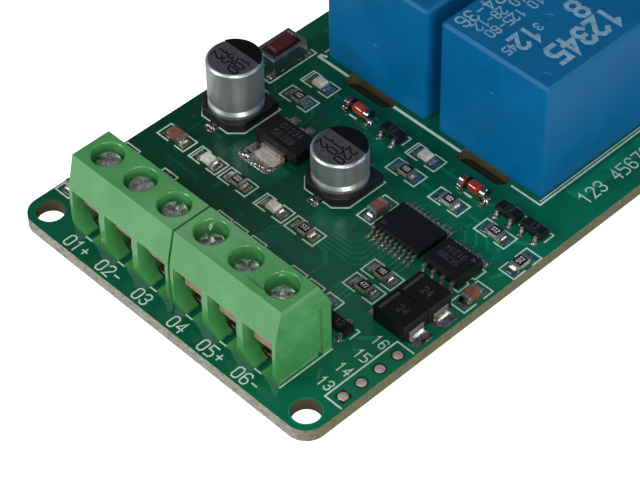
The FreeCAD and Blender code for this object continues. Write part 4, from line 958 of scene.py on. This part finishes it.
def screw_mesh(wide, tall, thread):
    """Combined slot and cross head over a cut thread, tip at z = 0."""
    head_tall = 1.5
    rim, neck = wide / 2, tall - head_tall
    head = Shape().lathe([(0, neck), (rim - 0.12, neck), (rim, neck + 0.12), (rim, tall - 0.42),
                          (rim - 0.06, tall - 0.24), (rim - 0.2, tall - 0.09),
                          (rim - 0.48, tall - 0.01), (0, tall)], steps=48)
    body = placed("head", mesh_of("head", head))
    half = 0.3          # of the slot's and the cross's width
    slot = Shape().block((-rim - 0.1, -half, tall - 0.8), (rim + 0.1, half, tall + 0.2))
    cross = Shape().block((-half, -1.1, tall - 1.0), (half, 1.1, tall + 0.2))
    tools = cut_out(body, (slot, cross))
    change(body, "BEVEL", width=0.11, segments=3, limit_method="ANGLE",
           angle_limit=math.radians(40))
    work = bmesh.new()
    work.from_mesh(baked(body, *tools))
    work.from_mesh(mesh_of("thread", thread_shape(neck + 0.05, thread), sharp=50))
    return smooth_mesh("clamp_screw", work, 35)


def rounded_housing(kind, index):
    """A terminal housing with its edges and the rims of its wells rounded. The rims come first,
    by weight, because a clamped bevel would stop short where they nearly meet."""
    node = f"{kind}_housing_{index}"
    made, top = tidy_copy(node), node_box(node).high.z
    well_reach = 1.9
    work = bmesh.new()
    work.from_mesh(made.data)
    weight = work.edges.layers.float.new("bevel_weight_edge")
    for edge in work.edges:
        if all(end.co.z > top - 0.01 and min((end.co.xy - box.mid.xy).length
                                             for box in SCREWS[kind]) < well_reach
               for end in edge.verts):
            edge[weight] = 1.0
    work.to_mesh(made.data)
    work.free()
    for limit, clamped in (("WEIGHT", False), ("ANGLE", True)):
        change(made, "BEVEL", width=0.2, segments=4, limit_method=limit, angle_limit=CORNER,
               harden_normals=True, use_clamp_overlap=clamped, loop_slide=clamped)
    change(made, "WEIGHTED_NORMAL")
    show(f"{kind}_terminal_{index}", baked(made), POLYAMIDE, slot="terminal_plastic",
         replaces=[node])


def make_terminals():
    """Housings, contacts, wire guards and screws of both rows of terminals."""
    low, high = SCREWS["input"][0]
    thread_wide = 2.5
    master = screw_mesh(high.x - low.x, high.z - low.z, thread_wide)
    for kind, start in (("input", 0), ("output", 180)):
        for index in (1, 2):
            rounded_housing(kind, index)
            dress(f"{kind}_contacts_{index}", STRIP, 0.05)
        for count, box in enumerate(SCREWS[kind], start=1):
            dress(f"{kind}_guard_{count}", GUARD, 0.06)
            mesh = master.copy()
            # each screw has come to rest at a turn of its own
            mesh.transform(Matrix.Translation((box.mid.x, box.mid.y, box.low.z))
                           @ turned(37 * count + start))
            show(f"{kind}_clamp_screw_{count}", mesh, ZINC, body=f"{kind}_clamp_screw_{count}",
                 slot="screw_steel", replaces=[f"{kind}_screw_{count}"])
    bpy.data.meshes.remove(master)


# ---- relays ----

def make_relays():
    """Covers with their ejector marks, bases, leads and inner works of the two relays."""
    for index, mark_z in ((1, 6.47), (2, 10.34)):
        node = f"relay_cover_{index}"
        low, high = box = node_box(node)
        cover = tidy_copy(node)
        # round ejector marks in the top, and one in the front
        dent = [(0, -0.12), (0.55, -0.12), (0.72, 0.2), (0, 0.2)]
        marks = [Shape().lathe(dent, steps=32, place=Matrix.Translation((x, y, high.z)))
                 for x, y in ((high.x - 1.6, low.y + 1.5), (box.mid.x, low.y + 8.5),
                              (low.x + 1.6, high.y - 1.5))]
        front = Matrix.Translation((box.mid.x, low.y, mark_z)) @ turned(90, "X")
        marks.append(Shape().lathe([(0, -0.16), (0.3, -0.12), (0.5, 0.06), (0, 0.06)], steps=24,
                                   place=front))
        tools = cut_out(cover, marks)
        change(cover, "BEVEL", width=0.17, segments=3, limit_method="ANGLE", angle_limit=CORNER,
               harden_normals=True)
        change(cover, "WEIGHTED_NORMAL")
        show(f"relay_case_{index}", baked(cover, *tools), POLYESTER, slot="relay_plastic",
             replaces=[node])
        dress(f"relay_base_{index}", BASE_PLASTIC)
        dress(f"relay_leads_{index}", TINNED)
        make_relay_print(index, box)
    dress("relay_works", STRIP)


def make_relay_print(index, box):
    """Rows of plain numbers, read from the board's far end, and two bold ones."""
    ink = Shape()
    top = box.high.z
    for text, across, back, tall, wide in (
            ("12-24-36", -5.9, 6.3, 1.7, 0.24), ("10 28-12", -4.2, 5.4, 1.2, 0.19),
            ("10 125-60", -2.6, 6.0, 1.2, 0.19), ("3", 0.2, 6.6, 1.1, 0.19),
            ("12", 0.5, 4.3, 2.2, 0.48), ("45", 0.5, 1.9, 1.1, 0.19), ("8", 1.2, 11.6, 2.6, 0.5),
            ("12345", 4.5, 8.9, 2.6, 0.58)):
        number(ink, text, (box.mid.x + across, box.low.y + back), tall, -90, wide, top,
               top + 0.015)
    piece(f"relay_print_{index}", ink, PAD_PRINT)


# ---- capacitors ----

def make_capacitors():
    """Cans with a coated and printed end, on their bases."""
    for index, lines in ((1, ("100", "35", "12")), (2, ("220", "10", "12"))):
        node = f"capacitor_can_{index}"
        dress(node, ALUMINIUM, 0.05)
        dress(f"capacitor_base_{index}", PHENOLIC, 0.12)
        low, high = box = node_box(node)
        x, y, top = *box.mid.xy, high.z
        radius, film = (high.x - low.x) / 2, 0.012
        coat = Shape().ring((x, y), radius - 0.3, 0, top - 0.02, top + film, 64)
        piece(f"can_end_coating_{index}", coat, CAN_COATING)
        # black sector for the negative side: the part of the end behind a straight chord
        reach, chord, steps = radius - 0.1, 1.15, 24
        edge = math.acos(chord / reach)
        turns = [math.pi / 2 - edge + 2 * edge * step / steps for step in range(steps + 1)]
        ink = Shape().plate([(x + reach * math.cos(turn), y + reach * math.sin(turn))
                             for turn in turns], top, top + 0.02)
        for line, text in enumerate(lines):
            number(ink, text, (x + 1.45 - 1.5 * line, y - 0.6), 1.25, -90, 0.17, top + film,
                   top + 2 * film, spread=0.95)
        piece(f"can_end_print_{index}", ink, BLACK_INK)
    dress("capacitor_leads", TINNED)


# ---- small parts ----

def make_end_caps():
    """Tinned ends wrapped round the two-ended parts."""
    spots = [at(*spot, (0.4, 1.29, box.high.z + 0.005), 0.015, turn % 180)
             for kind, box, spot, turn in part_ends(0.815, ("resistors", "ceramic_capacitors"))]
    repeated("tinned_part_ends", UNIT_BLOCK, spots, TINNED, 0.06, slot="tinned_metal")


def make_resistors():
    """Bodies of the chip resistors and capacitors, and the resistors' glaze and numbers."""
    dress("resistors", CERAMIC, 0.04)
    dress("ceramic_capacitors", TITANATE, 0.08, 3)
    glaze = Shape().block((-0.62, -0.6, 0), (0.62, 0.6, 0.035))
    spots, marks = [], Shape()
    codes = "102 103 512 101 472 222 512 102 512 102 103 102 512".split()
    for code, box in zip(codes, CHIPS["resistors"]):
        turn, top = 0 if box.across else 90, box.high.z
        spots.append(at(box.mid.x, box.mid.y, z=top - 0.012, turn=turn))
        number(marks, code, box.mid, 0.52, turn, 0.06, top + 0.02, top + 0.03, spread=0.75)
    repeated("resistor_glaze", glaze, spots, GLAZE, 0.015)
    piece("resistor_numbers", marks, MARK)


def make_lamps():
    """Status lamps: a white base with tinned ends, a clear lens and the red chip in it."""
    bases, lenses, chips = Shape(), Shape(), Shape()
    base_top, half_wide, half_deep = 0.3, 0.72, 0.58
    for box in CHIPS["status_lamps"]:
        low, high = box
        x, y = box.mid.xy
        bases.block((low.x + 0.02, low.y + 0.02, 0.02), (high.x - 0.02, high.y - 0.02, base_top))
        lenses.tower([[(x + a * half_wide * grow, y + b * half_deep * grow, z)
                       for a, b in ((-1, -1), (1, -1), (1, 1), (-1, 1))]
                      for z, grow in ((base_top, 1.0), (0.55, 0.98), (0.74, 0.8))])
        chips.block((x + 0.28, y - 0.2, base_top), (x + 0.6, y + 0.12, 0.46))
    piece("lamp_bases", bases, LAMP_BASE, 0.03, replaces=["status_lamps"], slot="lamp_plastic")
    piece("lamp_lenses", lenses, LENS, 0.07, 3)
    piece("lamp_chips", chips, GLOW, 0.02)
    ends = [at(*spot, (0.32, 1.27, 0.33), 0.01)
            for kind, box, spot, turn in part_ends(0.85, ("status_lamps",))]
    repeated("lamp_ends", UNIT_BLOCK, ends, TINNED, 0.08)


def make_glass_diodes():
    """Glass tubes with plated end caps, a painted band and an orange-red bead inside."""
    glass, caps, beads, bands = Shape(), Shape(), Shape(), Shape()
    for box in solids("relay_diodes"):
        low, high = box
        half, reach = (high.x - low.x) / 2, (high.z - low.z) / 2
        wall = reach - 0.06
        place = Matrix.Translation(box.mid) @ turned(90, "Y")
        glass.lathe([(0, -half + 0.45), (reach - 0.14, -half + 0.45), (wall, -half + 0.6),
                     (wall, half - 0.6), (reach - 0.14, half - 0.45), (0, half - 0.45)],
                    steps=32, place=place)
        beads.lathe([(0, -0.75), (0.3, -0.75), (0.42, -0.5), (0.42, 0.5), (0.3, 0.75), (0, 0.75)],
                    steps=20, place=place)
        for side in (-1, 1):
            caps.lathe([(0, half), (reach - 0.1, half), (reach, half - 0.1),
                        (reach, half - 0.62), (reach - 0.08, half - 0.68), (0, half - 0.68)],
                       steps=32, place=place @ Matrix.Scale(side, 4, (0, 0, 1)))
        bands.lathe([(reach - 0.07, -0.98), (reach - 0.03, -0.94), (reach - 0.03, -0.5),
                     (reach - 0.07, -0.46)], steps=32, closed=True, place=place)
    piece("diode_tubes", glass, GLASS, replaces=["relay_diodes"], slot="diode_glass")
    piece("diode_beads", beads, BEAD)
    piece("diode_bands", bands, BLACK_INK)
    piece("diode_caps", caps, NICKEL)


def make_chips():
    """Moulded parts with formed leads, and their laser marks."""
    for node in ("controller_chip", "bus_chip", "regulator", "transistors"):
        dress(node, EPOXY, 0.05)
    dress("surge_diodes", EPOXY, 0.12)
    dress("formed_leads", TINNED, 0.03, 1)
    dress("surge_diode_strips", TINNED, 0.05)
    marks = Shape()
    below, above = 0.005, 0.006         # how far a mark reaches into and over the chip's top

    def mark(text, spot, tall, turn, wide, top):
        number(marks, text, spot, tall, turn, wide, top - below, top + above)

    chip = node_box("controller_chip")
    marks.ring((chip.low.x + 0.8, chip.low.y + 0.8), 0.3, 0.2, chip.high.z - below,
               chip.high.z + above, 24)
    chip = node_box("bus_chip")
    marks.ring((chip.high.x - 0.75, chip.high.y - 0.75), 0.26, 0, chip.high.z - below,
               chip.high.z + above, 24)
    for text, y in (("01234", 0.75), ("56789", -0.35)):
        mark(text, (chip.mid.x - 0.3, chip.mid.y + y), 0.72, 180, 0.09, chip.high.z)
    chip = node_box("regulator")
    for text, y in (("01234", 0.75), ("56789", -0.55)):
        mark(text, (chip.mid.x, chip.mid.y + y), 0.8, 0, 0.1, chip.high.z)
    for chip in solids("transistors"):
        mark("12", chip.mid, 0.7, 0, 0.1, chip.high.z)
    for chip in solids("surge_diodes"):
        low, high = chip
        marks.block((low.x + 0.5, low.y + 0.25, high.z - below),
                    (low.x + 0.85, high.y - 0.25, high.z + above))
        mark("24", (chip.mid.x + 0.4, chip.mid.y), 0.9, 0, 0.12, high.z)
    piece("chip_marks", marks, LASER)


def make_switch():
    """The test button: base, steel shell with its tabs, collar and red cap."""
    dress("switch_base", PHENOLIC)
    dress("switch_shell", STEEL, 0.2, 3)
    dress("switch_feet", TINNED, 0.03, 1)
    low, high = node_box("switch_button")
    collar = Shape().block(low, (high.x, high.y, low.z + 0.42))
    piece("button_collar", collar, PHENOLIC, 0.06, body="button", slot="button_plastic",
          replaces=["switch_button"])
    cap = Shape().block((low.x + 0.38, low.y + 0.62, low.z + 0.3),
                        (high.x - 0.38, high.y - 0.62, high.z))
    piece("button_cap", cap, BUTTON, 0.16, 3, body="button")
    low, high = node_box("switch_shell")
    tabs = Shape()
    for x in (low.x - 0.02, high.x - 0.06):
        for y in (low.y + 1.0, high.y - 1.5):
            tabs.block((x, y, 0.12), (x + 0.08, y + 0.5, 0.5))
    piece("switch_shell_tabs", tabs, STEEL)


# ---- room, light and camera ----

def studio_paper():
    """White paper: it glows white round the board, is in shade below its middle, where its colour is
    painted dark as a painted shadow, and seen from below it lets the underside of the board show,
    and light on it through."""
    paper, tree, shader, place = finish("white_studio_paper", Roughness=0.9)
    path = add(tree, "ShaderNodeLightPath").outputs
    seen = add(tree, "ShaderNodeMath", {0: path["Is Camera Ray"], 1: path["Is Transmission Ray"]},
               operation="MAXIMUM")
    spot = add(tree, "ShaderNodeSeparateXYZ", {0: place})
    away = []
    for axis, side in ((0, WIDE), (1, LONG)):
        shaded = side / 2 - 7.5
        reach = add(tree, "ShaderNodeMath", {0: spot.outputs[axis]}, operation="ABSOLUTE")
        away.append(add(tree, "ShaderNodeMapRange", {"Value": reach, "From Min": shaded * MM,
                                                     "From Max": (shaded + 2) * MM}))
    beside = add(tree, "ShaderNodeMath", {0: away[0], 1: away[1]}, operation="MAXIMUM")
    shown = add(tree, "ShaderNodeMath", {0: seen, 1: beside}, operation="MULTIPLY")
    glow = add(tree, "ShaderNodeMath", {0: shown, 1: 0.95}, operation="MULTIPLY")
    # below the board's middle the paper's colour is painted dark: a painted shadow
    shade = add(tree, "ShaderNodeMix", {0: beside, 6: linear("2E2E26"), 7: linear("F2F2F0")},
                data_type="RGBA")
    tree.links.new(shade.outputs[2], shader.inputs["Base Color"])
    tree.links.new(glow.outputs[0], shader.inputs["Emission Strength"])
    shader.inputs["Emission Color"].default_value = (1, 1, 1, 1)
    behind = add(tree, "ShaderNodeNewGeometry").outputs["Backfacing"]
    clear = add(tree, "ShaderNodeMath", {0: behind, 1: path["Is Shadow Ray"]},
                operation="MAXIMUM")
    sheet = add(tree, "ShaderNodeMixShader", {0: clear, 1: shader,
                                              2: add(tree, "ShaderNodeBsdfTransparent")})
    tree.links.new(sheet.outputs[0], tree.nodes["Material Output"].inputs["Surface"])
    return paper


def make_room():
    """The paper below the board, and a world that is white to the camera and dim elsewhere."""
    half, level = 1.6, cad_bounds[0].z - 0.0001
    mesh = bpy.data.meshes.new("floor")
    mesh.from_pydata([(-half, -half, level), (half, -half, level), (half, half, level),
                      (-half, half, level)], [], [(0, 1, 2, 3)])
    mesh.materials.append(studio_paper())
    floor = placed("floor", mesh)
    world = bpy.data.worlds.new("studio")
    bpy.context.scene.world = world
    world.use_nodes = True
    tree = world.node_tree
    back = tree.nodes["Background"]
    path = add(tree, "ShaderNodeLightPath").outputs
    mirrored = add(tree, "ShaderNodeMapRange", {"Value": path["Is Glossy Ray"], "To Min": 0.2,
                                                "To Max": 0.1})
    strength = add(tree, "ShaderNodeMapRange", {"Value": path["Is Camera Ray"],
                                                "To Min": mirrored, "To Max": 1.0})
    tree.links.new(strength.outputs[0], back.inputs["Strength"])
    back.inputs["Color"].default_value = (1, 1, 1, 1)


def make_lights():
    """Area lamps: name, place and aim in millimetres from the frame's middle, size and watts."""
    for name, place_mm, aim_mm, size_mm, watts in (
            ("key_from_front_left", (-110, -215, 125), (0, -15, 5), (110, 66), 0.32),
            ("side_from_right", (230, -90, 60), (0, 0, 5), (80, 70), 0.2),
            ("beside_the_camera", (150, -175, 230), (0, -10, 5), (36, 26), 0.3),
            ("glint_from_far_right", (190, 125, 135), (5, 0, 3), (50, 50), 0.05),
            ("strip_over_far_left", (-170, 129, 250), (0, -31, 8), (60, 14), 0.003),
            ("below_the_paper", (40, -60, -240), (0, 0, 0), (60, 60), 0.12)):
        light = bpy.data.lights.new(name, "AREA")
        light.shape = "RECTANGLE"
        light.size, light.size_y = (side * MM for side in size_mm)
        light.energy = watts
        place, aim = Vector(place_mm) * MM, Vector(aim_mm) * MM
        turn = (aim - place).to_track_quat("-Z", "Y").to_matrix().to_4x4()
        placed(name, light).matrix_world = Matrix.Translation(place) @ turn


def make_camera():
    """The photograph's view, solved from the terminals, the relays and the board's corner."""
    right = Vector((0.69710649, 0.71682979, -0.01405713)).normalized()
    forward = Vector((-0.50659295, 0.47859069, -0.71715726)).normalized()
    place_mm = Vector((128.478, -134.747, 178.099))
    camera = bpy.data.cameras.new("camera")
    camera.lens, camera.sensor_width = 133.0, 36.0
    camera.clip_start, camera.clip_end = 0.01, 10
    made = placed("camera", camera)
    turn = Matrix((right, right.cross(forward), -forward)).transposed().to_4x4()
    made.matrix_world = Matrix.Translation(place_mm * MM) @ turn
    bpy.context.scene.camera = made


dress("circuit_board", BOARD)
make_copper()
make_vias()
make_print()
make_numbers()
make_pads()
make_solder()
make_holes()
make_underside()
make_terminals()
make_relays()
make_capacitors()
make_end_caps()
make_resistors()
make_lamps()
make_glass_diodes()
make_chips()
make_switch()
make_room()
make_lights()
make_camera()
bpy.context.scene.view_settings.view_transform = "Standard"
